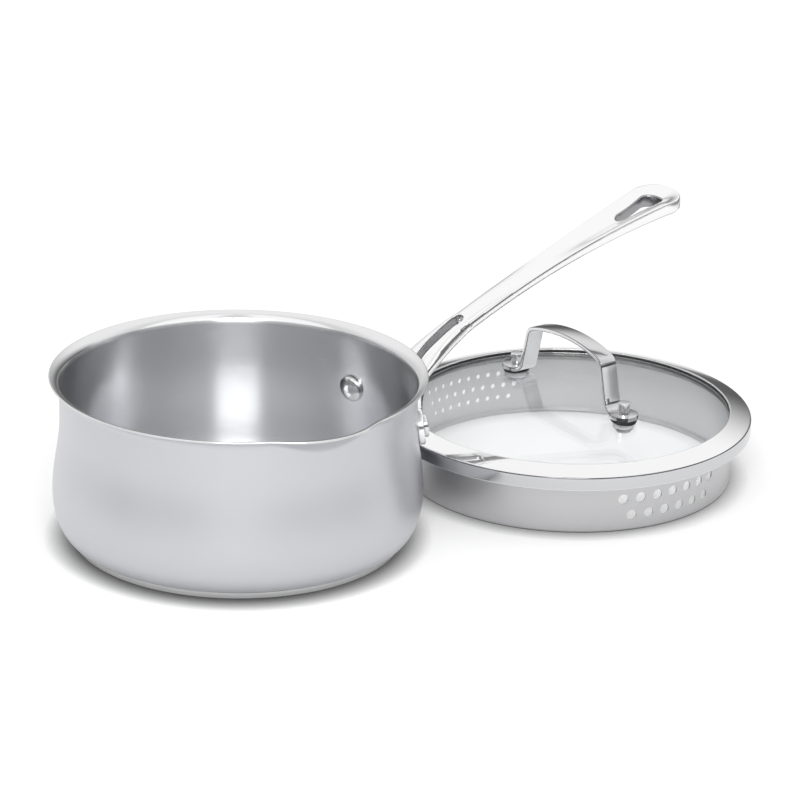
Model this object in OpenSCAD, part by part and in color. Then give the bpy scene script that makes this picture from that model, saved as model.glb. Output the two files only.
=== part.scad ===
// Saucepan with a pouring lip, riveted forked handle and straining glass lid.
// The pan stands on the origin, its long handle runs along +X and its pouring
// lip faces -Y. The lid stands on its skirt beside the pan, under the handle.

/* [Pan] */
// Outer radius of the rolled rim
rim_r = 96; // [92:0.5:104]
// Height of the rim's outer edge
pan_h = 86.9; // [80:0.1:104]
// Width of the rolled rim outside the neck
rim_w = 5.9; // [5.4:0.1:7]
// Height at which the wall becomes straight
neck_h = 64; // [58:1:70]
// How far the belly stands out past the neck
belly_swell = 3.9; // [1:0.1:8]
// Height of the belly
belly_h = 26; // [20:1:32]
// Thickness of the steel wall and floor
wall_t = 1; // [0.8:0.1:1.4]
// Radius of the bend that turns the wall out into the rim
rim_bend = 5; // [4:0.1:5.8]
// Slope of the rim above level
rim_slope = 15; // [8:1:22]

/* [Pouring lip] */
// Half of the angle that the pouring lip takes up on the rim
lip_half_angle = 18; // [14:1:24]
// How far the pouring lip stands out past the rim
lip_reach = 6.5; // [4:0.5:8]
// How much narrower the rolled rim gets at the pouring lip
lip_narrowing = 2.8; // [1.5:0.1:3.5]
// Height over which the wall swells out into the pouring lip
lip_depth = 11; // [9:0.5:14]

/* [Base] */
// How far the base stays inside the belly
base_inset = 10; // [6:0.5:16]
// Height of the bonded base under the pan's floor
base_h = 3.6; // [3:0.1:6]
// Thickness of the steel cap under the aluminium core
cap_t = 0.7; // [0.5:0.1:1]
// Radius of the cap's lower edge
cap_edge_r = 1.6; // [1:0.1:2]

/* [Long handle] */
// Angle of each rivet from the handle's middle line
rivet_angle = 20.5; // [18:0.5:24]
// Height of the rivets
rivet_h = 53.5; // [48:0.5:60]
// Distance of the fork's closed end from the neck
fork_len = 41; // [36:1:50]
// Rise of the fork from the rivets to its closed end
fork_rise = 39.7; // [34:0.1:46]
// Width of the slot between the fork's arms
slot_w = 7.6; // [5:0.1:8.5]
// Length from the fork's closed end to the rounded tip
grip_len = 128.8; // [100:0.1:165]
// Length of the rounded tip
tip_len = 13.6; // [8:0.1:18]
// Rise over the length of the grip
grip_rise = 50.4; // [35:0.1:65]
// Width of the handle at its waist
waist_w = 16; // [14:0.2:19]
// Width of the grip's broad end
grip_w = 31.6; // [26:0.2:36]
// Thickness of the handle at the fork
handle_t = 3.4; // [2.6:0.1:4]
// Height of the handle's crown above its edges at the fork
grip_crown = 2.8; // [1.5:0.1:4]
// Thickness of the grip's edge at its broad end
grip_t = 6; // [4.5:0.1:8]
// Thickness of the grip's middle at its broad end
grip_mid_t = 6.8; // [5:0.1:9]
// Depth of the thumb dish in the grip's broad end
dish = 3.5; // [1:0.1:4]
// Length of the hanging hole
hang_len = 26.4; // [22:0.1:32]
// Width of the hanging hole's round end
hang_w = 13.6; // [9:0.1:15]
// Width of the hanging hole's narrow end
hang_tail_w = 7.6; // [4:0.1:9]
// Distance of the hanging hole from the handle's tip
hang_web = 8.3; // [7:0.1:14]

/* [Rivets] */
// Diameter of the rivet's shank
rivet_d = 6.2; // [4:0.1:7]
// Diameter of the domed head inside the pan
inner_head_d = 14; // [10:0.5:16]
// Height of the domed head inside the pan
inner_head_h = 3.2; // [2:0.1:4]
// Diameter of the head outside, on the handle's pad
outer_head_d = 12; // [9:0.5:14]
// Height of the head outside
outer_head_h = 2.6; // [1.5:0.1:3.5]
// Diameter of the round pad at the end of each arm
pad_d = 19; // [17:0.5:22]

/* [Lid] */
// How far the lid's steel band stands out past the pan's rim
band_over = 0.6; // [0:0.1:3]
// Gap between the skirt and the pan's neck
skirt_gap = 2.6; // [1.5:0.1:4]
// Height of the skirt below the band
skirt_h = 27; // [24:0.5:34]
// Height of the band's outer side
band_h = 7.3; // [6.8:0.1:9]
// Rise of the band's top from its outer edge to its inner edge
band_rise = 3.3; // [3:0.1:4.5]
// Width of the band's top, from its outer side to the glass
band_w = 11.6; // [11:0.1:15]
// Thickness of the band and the skirt
sheet_t = 0.8; // [0.6:0.1:1]
// Radius of the round bead along the skirt's lower edge
hem_r = 1.3; // [1:0.1:1.6]
// Thickness of the glass
glass_t = 4; // [3:0.1:4]
// Distance of the glass's edge from the band's outer side
glass_inset = 5.6; // [4.8:0.1:7]
// Thickness of the seal between the glass and the band
seal_t = 0.8; // [0.6:0.1:1]
// Height of the middle of the glass above the table
glass_top = 45.4; // [43:0.1:48]
// Gap along X from the pan's rim to the lid's band
lid_gap = 2.6; // [1:0.1:30]
// How far the lid's middle lies from the handle's line, towards the pouring lip
lid_shift = 6; // [0:0.5:20]
// Turn of the lid's handle from the pouring lip's direction
lid_turn = 6; // [-30:1:30]

/* [Strainer holes] */
// Diameter of the coarse holes
coarse_d = 5.4; // [3:0.1:6]
// Number of coarse holes in the upper row, one more than in the lower row
coarse_count = 7; // [3:1:9]
// Angle between neighbouring coarse holes
coarse_pitch = 6.5; // [5.6:0.1:8]
// Height of the upper coarse row
coarse_h = 17.4; // [16.5:0.1:19]
// Diameter of the fine holes
fine_d = 2.6; // [1.5:0.1:3]
// Number of fine holes in the upper row, one more than in each row below
fine_count = 11; // [5:1:15]
// Angle between neighbouring fine holes
fine_pitch = 4.2; // [3.6:0.1:5]
// Height of the upper fine row
fine_h = 23; // [22:0.1:23.5]
// Distance between rows of fine holes
fine_row_gap = 6.6; // [5:0.1:7]
// Distance between the rows of coarse holes
coarse_row_gap = 9; // [7.5:0.1:9.5]

/* [Lid handle] */
// Distance between the two screws of the lid's handle
screw_span = 90; // [84:1:100]
// Width of the bent strap
strap_w = 10.2; // [8.5:0.1:12.5]
// Thickness of the bent strap
strap_t = 2.2; // [2:0.1:3]
// Height of the strap's middle above its feet
strap_h = 31; // [29:0.1:40]
// Slope of the arch where it meets a shoulder
strap_slope = 17.4; // [10:0.1:24]
// Distance from the screw to the bottom of the leg
leg_inset = 10.3; // [10:0.1:13]
// How far the legs lean towards each other, from upright
leg_lean_angle = 12.8; // [4:0.1:18]
// Radius of the bend at the foot, at mid thickness
foot_bend = 6; // [4:0.1:7]
// Radius of the bend at the shoulder, at mid thickness
strap_bend = 5.8; // [4:0.1:7]
// Diameter of the round pad that each foot ends in
foot_d = 15.4; // [13.5:0.1:17]
// Diameter of the barrel nut on each foot
nut_d = 6.4; // [5:0.1:7.5]
// Height of the barrel nut above the foot
nut_h = 6; // [4:0.1:8]
// Diameter of the gaskets on top of the glass
gasket_d = 15.6; // [14.5:0.1:18]
// Least thickness of the upper gasket
gasket_t = 0.8; // [0.6:0.1:2]
// Diameter of the gaskets below the glass
under_gasket_d = 11; // [10:0.5:14]
// Diameter of the screw's thread
screw_d = 4; // [3:0.1:4]
// Diameter of the screw's head below the glass
screw_head_d = 8; // [6.5:0.1:9]

/* [Hidden] */
$fn = 180;
fit = 0.1;          // clearance round shanks and between pressed parts
seat = 0.05;        // clearance between parts that lie on each other
wall_seat = 0.15;   // clearance between the handle's pads and the wall
head_clear = 0.35;  // clearance between a rivet's flat inner head and the round wall
pad_clear = 0.2;    // clearance between a rivet's flat outer head and its pad
neck_r = rim_r - rim_w;
belly_r = neck_r + belly_swell;
base_r = belly_r - base_inset;
band_r = rim_r + band_over;
skirt_r = neck_r - wall_t - skirt_gap;
window_r = band_r - band_w;
lid_x = rim_r + lid_gap + band_r;
lid_y = -lid_shift;

steel = "lightgray";
bright_steel = "whitesmoke";
brushed_steel = "silver";

// ---- shared functions ----

function blend(t) = (1 - cos(180 * min(1, max(0, t)))) / 2;
function unit(v) = v / norm(v);
function left_of(p, q) = [-(q - p)[1], (q - p)[0]] / norm(q - p);
// Normal of an open path at point i, to the left of its direction
function path_normal(path, i) =
    left_of(path[max(0, i - 1)], path[min(len(path) - 1, i + 1)]);
function offset_path(path, d) =
    [for (i = [0 : len(path) - 1]) path[i] + d * path_normal(path, i)];
function reversed(list) = [for (i = [len(list) - 1 : -1 : 0]) list[i]];
// Cubic through the rows p, q from the rows before and after them
function spline_row(o, p, q, r, t) =
    (2 * p + (q - o) * t + (2 * o - 5 * p + 4 * q - r) * t * t
     + (3 * p - o - 3 * q + r) * t * t * t) / 2;
function spline(rows, steps) = concat(
    [for (i = [0 : len(rows) - 2]) for (k = [0 : steps - 1])
        spline_row(rows[max(0, i - 1)], rows[i], rows[i + 1],
                   rows[min(len(rows) - 1, i + 2)], k / steps)],
    [rows[len(rows) - 1]]);

// ---- pan ----

bowl_steps = 14;
side_steps = 12;
// The rim's underside leaves the bend at this radius and then runs straight
bend_out_r = neck_r + rim_bend * (1 - sin(rim_slope));
rim_run = rim_r - wall_t / 2 - bend_out_r;
bend_h = pan_h - wall_t * cos(rim_slope) - rim_run * tan(rim_slope) - rim_bend * cos(rim_slope);
lip_floor_h = bend_h + 0.6 * rim_bend - lip_depth;
// Outer radius of the wall between the base and the rim's bend
function wall_r(z) =
    z < belly_h
        ? base_r + (belly_r - base_r) * sqrt(max(0, 1 - pow((belly_h - z) / (belly_h - base_h), 2)))
        : belly_r - (belly_r - neck_r) * blend((z - belly_h) / (neck_h - belly_h));
bowl_path = [for (i = [0 : bowl_steps])
    let (a = 90 * i / bowl_steps)
    [base_r + (belly_r - base_r) * sin(a), belly_h - (belly_h - base_h) * cos(a)]];
side_path = [for (i = [1 : side_steps])
    let (z = belly_h + (neck_h - belly_h) * i / side_steps) [wall_r(z), z]];
rim_path = concat(
    [for (a = [0 : 7.5 : 90 - rim_slope])
        [neck_r + rim_bend * (1 - cos(a)), bend_h + rim_bend * sin(a)]],
    [[rim_r - wall_t / 2, pan_h - wall_t * cos(rim_slope)]]);
wall_path = concat([[0, base_h]], bowl_path, side_path, rim_path);

// The pouring lip is a small bell on an axis of its own, whose rim crosses the pan's
// rim at the lip's half angle
lip_tip_r = rim_r + lip_reach;
lip_axis = (pow(lip_tip_r, 2) - pow(rim_r, 2)) / (2 * (lip_tip_r - rim_r * cos(lip_half_angle)));
lip_root_r = neck_r - 0.8 * wall_t;
lip_rise = bend_h + rim_bend - lip_floor_h;
lip_band = rim_r - neck_r - lip_narrowing;
lip_path = concat(
    [for (t = [0 : 0.125 : 1])
        [lip_root_r + (lip_tip_r - lip_band - lip_root_r) * pow(t, 1.7) - lip_axis,
         lip_floor_h + lip_rise * t]],
    [[lip_tip_r - wall_t / 2 - lip_axis, pan_h - wall_t * cos(rim_slope)]]);

// Places children on both rivets' axes, which stand square to the wall, with the wall's
// outer face at height 0
rivet_tilt = atan(wall_r(rivet_h - 1) / 2 - wall_r(rivet_h + 1) / 2);
module on_rivet_axis(side)
    rotate([0, 0, side * rivet_angle]) translate([wall_r(rivet_h), 0, rivet_h])
        rotate([0, 90 - rivet_tilt, 0]) children();
module rivet_bores(reach) {
    for (side = [-1, 1]) on_rivet_axis(side)
        translate([0, 0, -reach]) cylinder(d = rivet_d + 2 * fit, h = 2 * reach);
}
// Inner side of a sheet of steel that follows a path
function inner_side(path) = [for (p = offset_path(path, wall_t)) [max(0, p[0]), p[1]]];
// A path turned about its axis and filled up to height top
module filled(path, top) {
    last = path[len(path) - 1];
    rotate_extrude() polygon(concat([[0, path[0][1]]], path, [[last[0], top], [0, top]]));
}
module shell_outside(path) {
    rim_edge = inner_side(path)[len(path) - 1];
    filled(concat(path, [rim_edge]), rim_edge[1]);
}
module shell_inside(path) filled(inner_side(path), pan_h + rim_bend);
module pan_body() color(steel) {
    difference() {
        union() {
            shell_outside(wall_path);
            translate([0, -lip_axis, 0]) shell_outside(lip_path);
        }
        shell_inside(wall_path);
        translate([0, -lip_axis, 0]) shell_inside(lip_path);
        rivet_bores(3 * wall_t);
    }
}

// ---- base ----

module base_core() color("darkgray")
    translate([0, 0, cap_t + seat]) cylinder(r = base_r - cap_t - fit, h = base_h - cap_t - 2 * seat);
module base_cap() color(bright_steel) {
    inner_r = base_r - cap_t;
    rotate_extrude() polygon(concat(
        [[0, 0]],
        [for (a = [0 : 15 : 90])
            [base_r - cap_edge_r * (1 - sin(a)), cap_edge_r * (1 - cos(a))]],
        [[base_r, base_h - seat], [inner_r, base_h - seat], [inner_r, cap_t], [0, cap_t]]));
}

// ---- long handle ----

fork_x = neck_r + fork_len;
straight_len = grip_len - tip_len;
// Rows of an arm's upper face, from the pad to the fork's closed end: the inner edge's
// distance from the wall, share of the rivet angle and height above the rivet, the same
// for the outer edge, and the tilt of the thickness from straight down
arm_rows = [
    [0.3, 0.89, -4.8, 0.3, 1.11, 4.8, 97],
    [0.5, 0.76, -1.5, 1.0, 0.98, 7.1, 84],
    [2.5, 0.56, 4.0, 3.3, 0.75, 12.0, 70],
    [5.2, 0.34, 10.3, 7.4, 0.53, 15.5, 58],
    [11.0, 0, 19.1, 10.8, 0.38, 18.1, 47],
    [19.5, 0, 28.0, 19.6, 0.31, 25.4, 38],
    [28.3, 0, 34.7, 28.4, 0.25, 31.8, 33],
    [35.9, 0, 39.7, 36.3, 0.21, 36.8, 31]];
// The rows were drawn for a fork of this length and rise
drawn_fork = [41, 39.7];
slot_half = slot_w / 2;
pad_t = handle_t + 0.2;
function around(r, a, z) = [r * cos(a), r * sin(a), z];
function off_wall(gap, z) = wall_r(z) + gap * fork_len / drawn_fork[0];
function above_rivet(h) = rivet_h + h * fork_rise / drawn_fork[1];
function arm_row(row) =
    let (
        zi = above_rivet(row[2]),
        zo = above_rivet(row[5]),
        inner = row[1] > 0
            ? around(off_wall(row[0], zi), row[1] * rivet_angle, zi)
            : [off_wall(row[0], zi), slot_half, zi],
        outer = around(off_wall(row[3], zo), row[4] * rivet_angle, zo),
        a = (row[1] + row[4]) / 2 * rivet_angle)
    concat(inner, outer, [handle_t, handle_t, row[6], a]);
// The same row for the grip, at share f of its straight length
fork_h = rivet_h + fork_rise;
function grip_half_w(f) = (waist_w + (grip_w - waist_w) * pow(f, 2.4)) / 2;
function grip_h(f) = fork_h + grip_rise * f * (1.23 - 0.23 * f);
function crown(f) = grip_crown - (grip_crown + dish) * blend(f * 1.15);
function grip_row(f) =
    let (t = handle_t + (grip_t - handle_t) * f * f, waist_mid_t = handle_t + grip_crown / 2)
    [fork_x + straight_len * f, 0, grip_h(f) + crown(f),
     fork_x + straight_len * f, grip_half_w(f), grip_h(f),
     waist_mid_t + (grip_mid_t - waist_mid_t) * f * f, t, 30 - 18 * f, 0];
// The closed end of the slot is round
slot_end_rows = [for (a = [20, 50, 75])
    let (row = grip_row(0), x = -slot_half * (1 - sin(a)))
    [row[0] + x, slot_half * cos(a), row[2] + x * 0.6, row[3] + x, row[4] + 0.2, row[5] + x * 0.6,
     row[6], row[7], row[8], 0]];
// The tip's outline goes on from the grip's and closes as a broad, rounded end
tip_flare = (grip_half_w(1) - grip_half_w(0.9)) / (0.1 * straight_len);
tip_slope = 0.17;
tip_rows = [for (a = [12, 25, 38, 50, 60, 70, 79, 86])
    let (
        row = grip_row(1),
        x = tip_len * sin(a),
        w = (row[4] + tip_flare * x * (1 - sin(a))) * pow(cos(a), 0.73))
    [row[0] + x, 0, row[2] + (row[5] - row[2]) * pow(sin(a), 3) + tip_slope * x,
     row[3] + x, w, row[5] + tip_slope * x, row[6] * (0.55 + 0.45 * cos(a)), row[7] * (0.6 + 0.4 * cos(a)),
     row[8] - 25 * (1 - cos(a)), 0]];
handle_rows = concat(
    spline(concat([for (row = arm_rows) arm_row(row)], slot_end_rows), 3),
    [for (i = [0 : 16]) grip_row(i / 16)], tip_rows);
handle_edge_r = 1.1;
// One half of a section: across the upper face, round the edge and back below
function half_section(row) =
    let (
        inner = [row[0], max(0, row[1]), row[2]],
        outer = [row[3], row[4], row[5]],
        across = outer - inner,
        down = [sin(row[8]) * cos(row[9]), sin(row[8]) * sin(row[9]), -cos(row[8])],
        inner_down = row[1] > 0.01 ? down : [down[0], 0, down[2]],
        drop = row[7] * down,
        edge = min(0.25, handle_edge_r / norm(across)))
    concat(
        [for (u = [0, 0.3, 0.6, 0.82]) inner + across * u + [0, 0, (blend(u) - u) * across[2]]],
        [outer - across * edge * 0.35, outer + drop * 0.16,
         outer + across * edge * 0.15 + drop * 0.5, outer + drop * 0.84,
         outer - across * edge * 0.35 + drop],
        [for (u = [0.82, 0.55, 0.28, 0])
            inner + across * u + inner_down * (row[6] * (1 - u) + row[7] * u)]);
// Both halves as one skin: they share their middle points where the slot is closed
module forked_bar() {
    rings = [for (row = handle_rows) half_section(row)];
    n = len(rings[0]);
    last = len(rings) - 1;
    function closed(i) = rings[i][0][1] < 0.01;
    function at(i, side, j) =
        i * 2 * n + (side > 0 || (closed(i) && (j == 0 || j == n - 1)) ? j : n + j);
    // A face is turned over on the other side
    function faced(side, face) = side > 0 ? face : reversed(face);
    polyhedron(
        points = [for (ring = rings) for (side = [1, -1]) for (p = ring) [p[0], side * p[1], p[2]]],
        faces = concat(
            // skin over the top, round the edge and back below
            [for (side = [1, -1]) for (i = [0 : last - 1]) for (j = [0 : n - 2])
                faced(side, [at(i, side, j), at(i, side, j + 1), at(i + 1, side, j)])],
            [for (side = [1, -1]) for (i = [0 : last - 1]) for (j = [0 : n - 2])
                faced(side, [at(i, side, j + 1), at(i + 1, side, j + 1), at(i + 1, side, j)])],
            // walls of the slot
            [for (side = [1, -1]) for (i = [0 : last - 1]) if (!closed(i))
                faced(side, [at(i, side, n - 1), at(i, side, 0), at(i + 1, side, 0)])],
            [for (side = [1, -1]) for (i = [0 : last - 1]) if (!closed(i))
                faced(side, [at(i, side, n - 1), at(i + 1, side, 0), at(i + 1, side, n - 1)])],
            // ends of the arms and of the grip
            [for (side = [1, -1]) for (j = [0 : n / 2 - 1])
                faced(side, j < n / 2 - 1
                    ? [at(0, side, n - 1 - j), at(0, side, n - 2 - j), at(0, side, j + 1), at(0, side, j)]
                    : [at(0, side, j + 2), at(0, side, j + 1), at(0, side, j)])],
            [for (side = [1, -1]) for (j = [0 : n / 2 - 1])
                faced(side, j < n / 2 - 1
                    ? [at(last, side, j), at(last, side, j + 1), at(last, side, n - 2 - j),
                       at(last, side, n - 1 - j)]
                    : [at(last, side, j), at(last, side, j + 1), at(last, side, j + 2)])]),
        convexity = 8);
}
module arm_pad() {
    // A disc cut from a shell that follows the wall
    steps = 10;
    band_path = [for (i = [0 : steps])
        let (z = rivet_h + pad_d * (i / steps - 0.5) * 1.1) [wall_r(z) + wall_seat, z]];
    intersection() {
        rotate_extrude() polygon(concat(band_path, reversed(offset_path(band_path, -pad_t))));
        on_rivet_axis(1) translate([0, 0, -pad_t]) cylinder(d = pad_d, h = 3 * pad_t);
    }
}
module hanging_hole() {
    // A teardrop slot: a round end, a round tail and straight flanks
    round_x = fork_x + grip_len - hang_web - hang_w / 2;
    tail_x = fork_x + grip_len - hang_web - hang_len + hang_tail_w / 2;
    shoulder_x = tail_x + (round_x - tail_x) * 0.45;
    translate([0, 0, fork_h]) linear_extrude(height = 2 * grip_rise) {
        translate([round_x, 0]) circle(d = hang_w);
        translate([tail_x, 0]) circle(d = hang_tail_w);
        polygon([[tail_x, hang_tail_w / 2], [tail_x, -hang_tail_w / 2],
                 [shoulder_x, -hang_tail_w / 2 - 0.6], [round_x, -hang_w / 2],
                 [round_x, hang_w / 2], [shoulder_x, hang_tail_w / 2 + 0.6]]);
    }
}
module long_handle() color(bright_steel) {
    difference() {
        union() {
            forked_bar();
            for (side = [0, 1]) mirror([0, side, 0]) arm_pad();
        }
        hanging_hole();
        rivet_bores(3 * handle_t);
        // flat seats for the rivets' outer heads
        for (side = [-1, 1]) on_rivet_axis(side) translate([0, 0, outer_seat - pad_clear / 2])
            cylinder(d = outer_head_d + 4 * fit, h = 3 * outer_head_h);
    }
}

// ---- rivets ----

// The heads' faces are flat, so they clear the round wall by a little more than a seat
inner_seat = -wall_t - head_clear;
outer_seat = wall_seat + pad_t + pad_clear;
head_side = 0.8;
module handle_rivet(side) color(bright_steel)
    on_rivet_axis(side) rotate_extrude() polygon(concat(
        [for (a = [0 : 10 : 80])
            [inner_head_d / 2 * sin(a), inner_seat - head_side - (inner_head_h - head_side) * cos(a)]],
        [[inner_head_d / 2, inner_seat - head_side], [inner_head_d / 2, inner_seat],
         [rivet_d / 2, inner_seat], [rivet_d / 2, outer_seat], [outer_head_d / 2, outer_seat],
         [outer_head_d / 2, outer_seat + outer_head_h * 0.55],
         [outer_head_d * 0.46, outer_seat + outer_head_h * 0.85],
         [outer_head_d * 0.38, outer_seat + outer_head_h], [0, outer_seat + outer_head_h]]));

// ---- lid ----

screw_r = screw_span / 2;
glass_edge_r = band_r - glass_inset;
// Glass sinks below the band's inner edge by the band and the seal
glass_window_h = skirt_h + band_h + band_rise - sheet_t - seal_t;
glass_rise = glass_top - glass_window_h;
glass_sphere_r = (pow(window_r, 2) + pow(glass_rise, 2)) / (2 * glass_rise);
// Height of the glass at radius r, or of its lower face with t = glass_t
function glass_h(r, t = 0) = glass_top - glass_sphere_r + sqrt(pow(glass_sphere_r - t, 2) - r * r);
glass_steps = 16;
function glass_path(t) = [for (i = [0 : glass_steps])
    let (r = glass_edge_r * i / glass_steps) [r, glass_h(r, t)]];
module at_lid() translate([lid_x, lid_y, 0]) rotate([0, 0, lid_turn]) children();
// Everything under the upper face of the glass, or under its lower face with t = glass_t
module under_glass(t)
    rotate_extrude() polygon(concat([[0, 0]], glass_path(t), [[glass_edge_r, 0]]));

coarse_rows = [coarse_h, coarse_h - coarse_row_gap];
fine_rows = [fine_h, fine_h - fine_row_gap, fine_h - 2 * fine_row_gap];
// Rows of radial holes, centred on direction a, each row one hole shorter than the row above
module hole_rows(a, heights, count, pitch, d) {
    for (row = [0 : len(heights) - 1]) for (i = [0 : count - row - 1])
        rotate([0, 0, a + (i - (count - row - 1) / 2) * pitch])
            translate([skirt_r - 3 * hem_r, 0, heights[row]])
                rotate([0, 90, 0]) cylinder(d = d, h = 5 * hem_r);
}
flange_h = skirt_h + sheet_t + seat;
flange_r = band_r - sheet_t - 3 * fit;
module strainer_skirt() color(brushed_steel) {
    inner_r = skirt_r - sheet_t;
    difference() {
        rotate_extrude() {
            // Wall and flange, then the round bead curled inwards at the lower edge
            polygon([
                [inner_r, hem_r], [skirt_r, hem_r], [skirt_r, flange_h], [flange_r, flange_h],
                [flange_r, flange_h + sheet_t], [inner_r, flange_h + sheet_t]]);
            translate([skirt_r - hem_r, hem_r]) circle(r = hem_r, $fn = 32);
        }
        hole_rows(-90, coarse_rows, coarse_count, coarse_pitch, coarse_d);
        hole_rows(90, fine_rows, fine_count, fine_pitch, fine_d);
    }
}

band_edge_r = 1.5;
// Height of the band's sloping top at radius r
function band_top(r) = skirt_h + band_h + band_rise * (band_r - r) / (band_r - window_r);
module lid_rim_band() color(bright_steel) {
    inner_wall_r = band_r - sheet_t;
    leg_r = skirt_r + 2 * fit;
    rotate_extrude() polygon(concat(
        [[leg_r, skirt_h], [band_r - 0.6, skirt_h], [band_r, skirt_h + 0.6]],
        [for (a = [0 : 15 : 75])
            [band_r - band_edge_r * (1 - cos(a)),
             band_top(band_r - band_edge_r) - band_edge_r + band_edge_r * sin(a)]],
        [[window_r + 0.4, band_top(window_r + 0.4)], [window_r, band_top(window_r) - 0.4],
         [window_r, band_top(window_r) - sheet_t],
         [inner_wall_r, band_top(inner_wall_r) - 1.1 * sheet_t],
         [inner_wall_r, skirt_h + sheet_t], [leg_r, skirt_h + sheet_t]]));
}

seal_steps = 4;
module glass_seal() color("dimgray") {
    lip_r = window_r + seal_t;
    leg_r = skirt_r - 1;
    outer_r = band_r - sheet_t - 2 * fit;
    pocket_r = glass_edge_r + fit;
    // Under the band, down its inside, in along the skirt's flange and back round the glass
    rotate_extrude() polygon(concat(
        [[lip_r, band_top(lip_r) - 1.1 * sheet_t - seat],
         [outer_r, band_top(outer_r) - 1.1 * sheet_t - seat],
         [outer_r, flange_h + sheet_t + seat], [leg_r, flange_h + sheet_t + seat]],
        [for (i = [0 : seal_steps])
            let (r = leg_r + (pocket_r - leg_r) * i / seal_steps) [r, glass_h(r, glass_t) - seat]],
        [for (i = [seal_steps : -1 : 0])
            let (r = lip_r + (pocket_r - lip_r) * i / seal_steps) [r, glass_h(r) + seat]]));
}

module at_screws() {
    for (side = [-1, 1]) translate([0, side * screw_r, 0]) children();
}
glass_hole_d = 1.5 * screw_d;
module lid_glass() color("lightcyan", 0.4)
    difference() {
        rotate_extrude() polygon(concat(glass_path(0), reversed(glass_path(glass_t))));
        at_screws() cylinder(d = glass_hole_d, h = 2 * glass_top);
    }

foot_h = glass_h(screw_r - gasket_d / 2) + gasket_t;
under_h = glass_h(screw_r + under_gasket_d / 2, glass_t) - gasket_t;
washer_t = 1;
screw_hole_d = screw_d + 2 * fit;
// The strap's middle line rises through the foot's bend, the leg and the shoulder's bend
// to the arch, which is a round one and level in the middle
leg_angle = 90 - leg_lean_angle;
leg_r = screw_r - leg_inset + foot_bend * (1 - sin(leg_angle));
leg_h = foot_bend * (1 - cos(leg_angle));
bend_in = strap_bend * (sin(leg_angle) - sin(strap_slope));
bend_up = strap_bend * (cos(strap_slope) - cos(leg_angle));
arch_gain = tan(strap_slope / 2);
leg_len = (strap_h - leg_h - bend_up - (leg_r - bend_in) * arch_gain)
    / (sin(leg_angle) - cos(leg_angle) * arch_gain);
leg_end = [leg_r - leg_len * cos(leg_angle), leg_h + leg_len * sin(leg_angle)];
arch_r = (leg_end[0] - bend_in) / sin(strap_slope);
strap_path = concat(
    [[screw_r + foot_d / 2, 0]],
    [for (t = [0 : 0.2 : 1]) let (a = leg_angle * t)
        [screw_r - leg_inset + foot_bend * (1 - sin(a)), foot_bend * (1 - cos(a))]],
    [for (t = [0 : 0.2 : 1]) let (a = leg_angle + (strap_slope - leg_angle) * t)
        leg_end + strap_bend * [sin(a) - sin(leg_angle), cos(a) - cos(leg_angle)]],
    [for (t = [1 / 6 : 1 / 6 : 1]) let (a = strap_slope * (1 - t))
        [arch_r * sin(a), strap_h - arch_r * (1 - cos(a))]]);
strap_line = concat(strap_path, [for (i = [len(strap_path) - 2 : -1 : 0])
    [-strap_path[i][0], strap_path[i][1]]]);
strap_outline = concat(
    offset_path(strap_line, strap_t / 2),
    reversed(offset_path(strap_line, -strap_t / 2)));
module strap_plan() {
    square([strap_w, 2 * screw_r], center = true);
    // The strap widens past the bend into a round pad
    flare_angle = 25;
    pad_r = foot_d / 2;
    for (side = [-1, 1]) scale([1, side]) {
        translate([0, screw_r]) circle(r = pad_r);
        polygon([[-strap_w / 2, screw_r - leg_inset], [strap_w / 2, screw_r - leg_inset],
                 [pad_r * cos(flare_angle), screw_r - pad_r * sin(flare_angle)],
                 [-pad_r * cos(flare_angle), screw_r - pad_r * sin(flare_angle)]]);
    }
}
module lid_handle() color(brushed_steel) {
    difference() {
        intersection() {
            translate([0, 0, foot_h + seat + strap_t / 2]) rotate([90, 0, 90])
                linear_extrude(height = foot_d, center = true) polygon(strap_outline);
            linear_extrude(height = 4 * strap_h) strap_plan();
        }
        at_screws() cylinder(d = screw_hole_d, h = foot_h + 2 * strap_t);
    }
}

nut_seat_h = foot_h + strap_t + 2 * seat;
module upper_gasket() color("black")
    difference() {
        translate([0, 0, foot_h - gasket_d / 2]) cylinder(d = gasket_d, h = gasket_d / 2);
        translate([0, -screw_r, seat]) under_glass(0);
        cylinder(d = screw_hole_d, h = foot_h + 1);
    }
module lower_gasket() color("black")
    difference() {
        intersection() {
            translate([0, 0, under_h]) cylinder(d = under_gasket_d, h = under_gasket_d / 2);
            translate([0, -screw_r, -seat]) under_glass(glass_t);
        }
        cylinder(d = screw_hole_d, h = foot_h);
    }
module washer() color(steel)
    translate([0, 0, under_h - seat - washer_t]) difference() {
        cylinder(d = under_gasket_d - 1, h = washer_t);
        translate([0, 0, -1]) cylinder(d = screw_hole_d, h = washer_t + 2);
    }
screw_head_t = 2.4;
screw_seat_h = under_h - 2 * seat - washer_t;
screw_end_h = nut_seat_h + nut_h - 1.5;
module screw() color(steel) {
    slot_t = 1.2;
    translate([0, 0, screw_seat_h]) cylinder(d = screw_d, h = screw_end_h - screw_seat_h);
    difference() {
        translate([0, 0, screw_seat_h]) rotate_extrude() polygon(concat(
            [[0, 0], [screw_head_d / 2, 0], [screw_head_d / 2, -screw_head_t * 0.4]],
            [for (a = [15 : 15 : 90])
                [screw_head_d / 2 * cos(a), -screw_head_t * (0.4 + 0.6 * sin(a))]]));
        for (turn = [0, 90]) rotate([0, 0, turn])
            translate([0, 0, screw_seat_h - screw_head_t])
                cube([screw_head_d * 0.55, slot_t, screw_head_t], center = true);
    }
}
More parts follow.
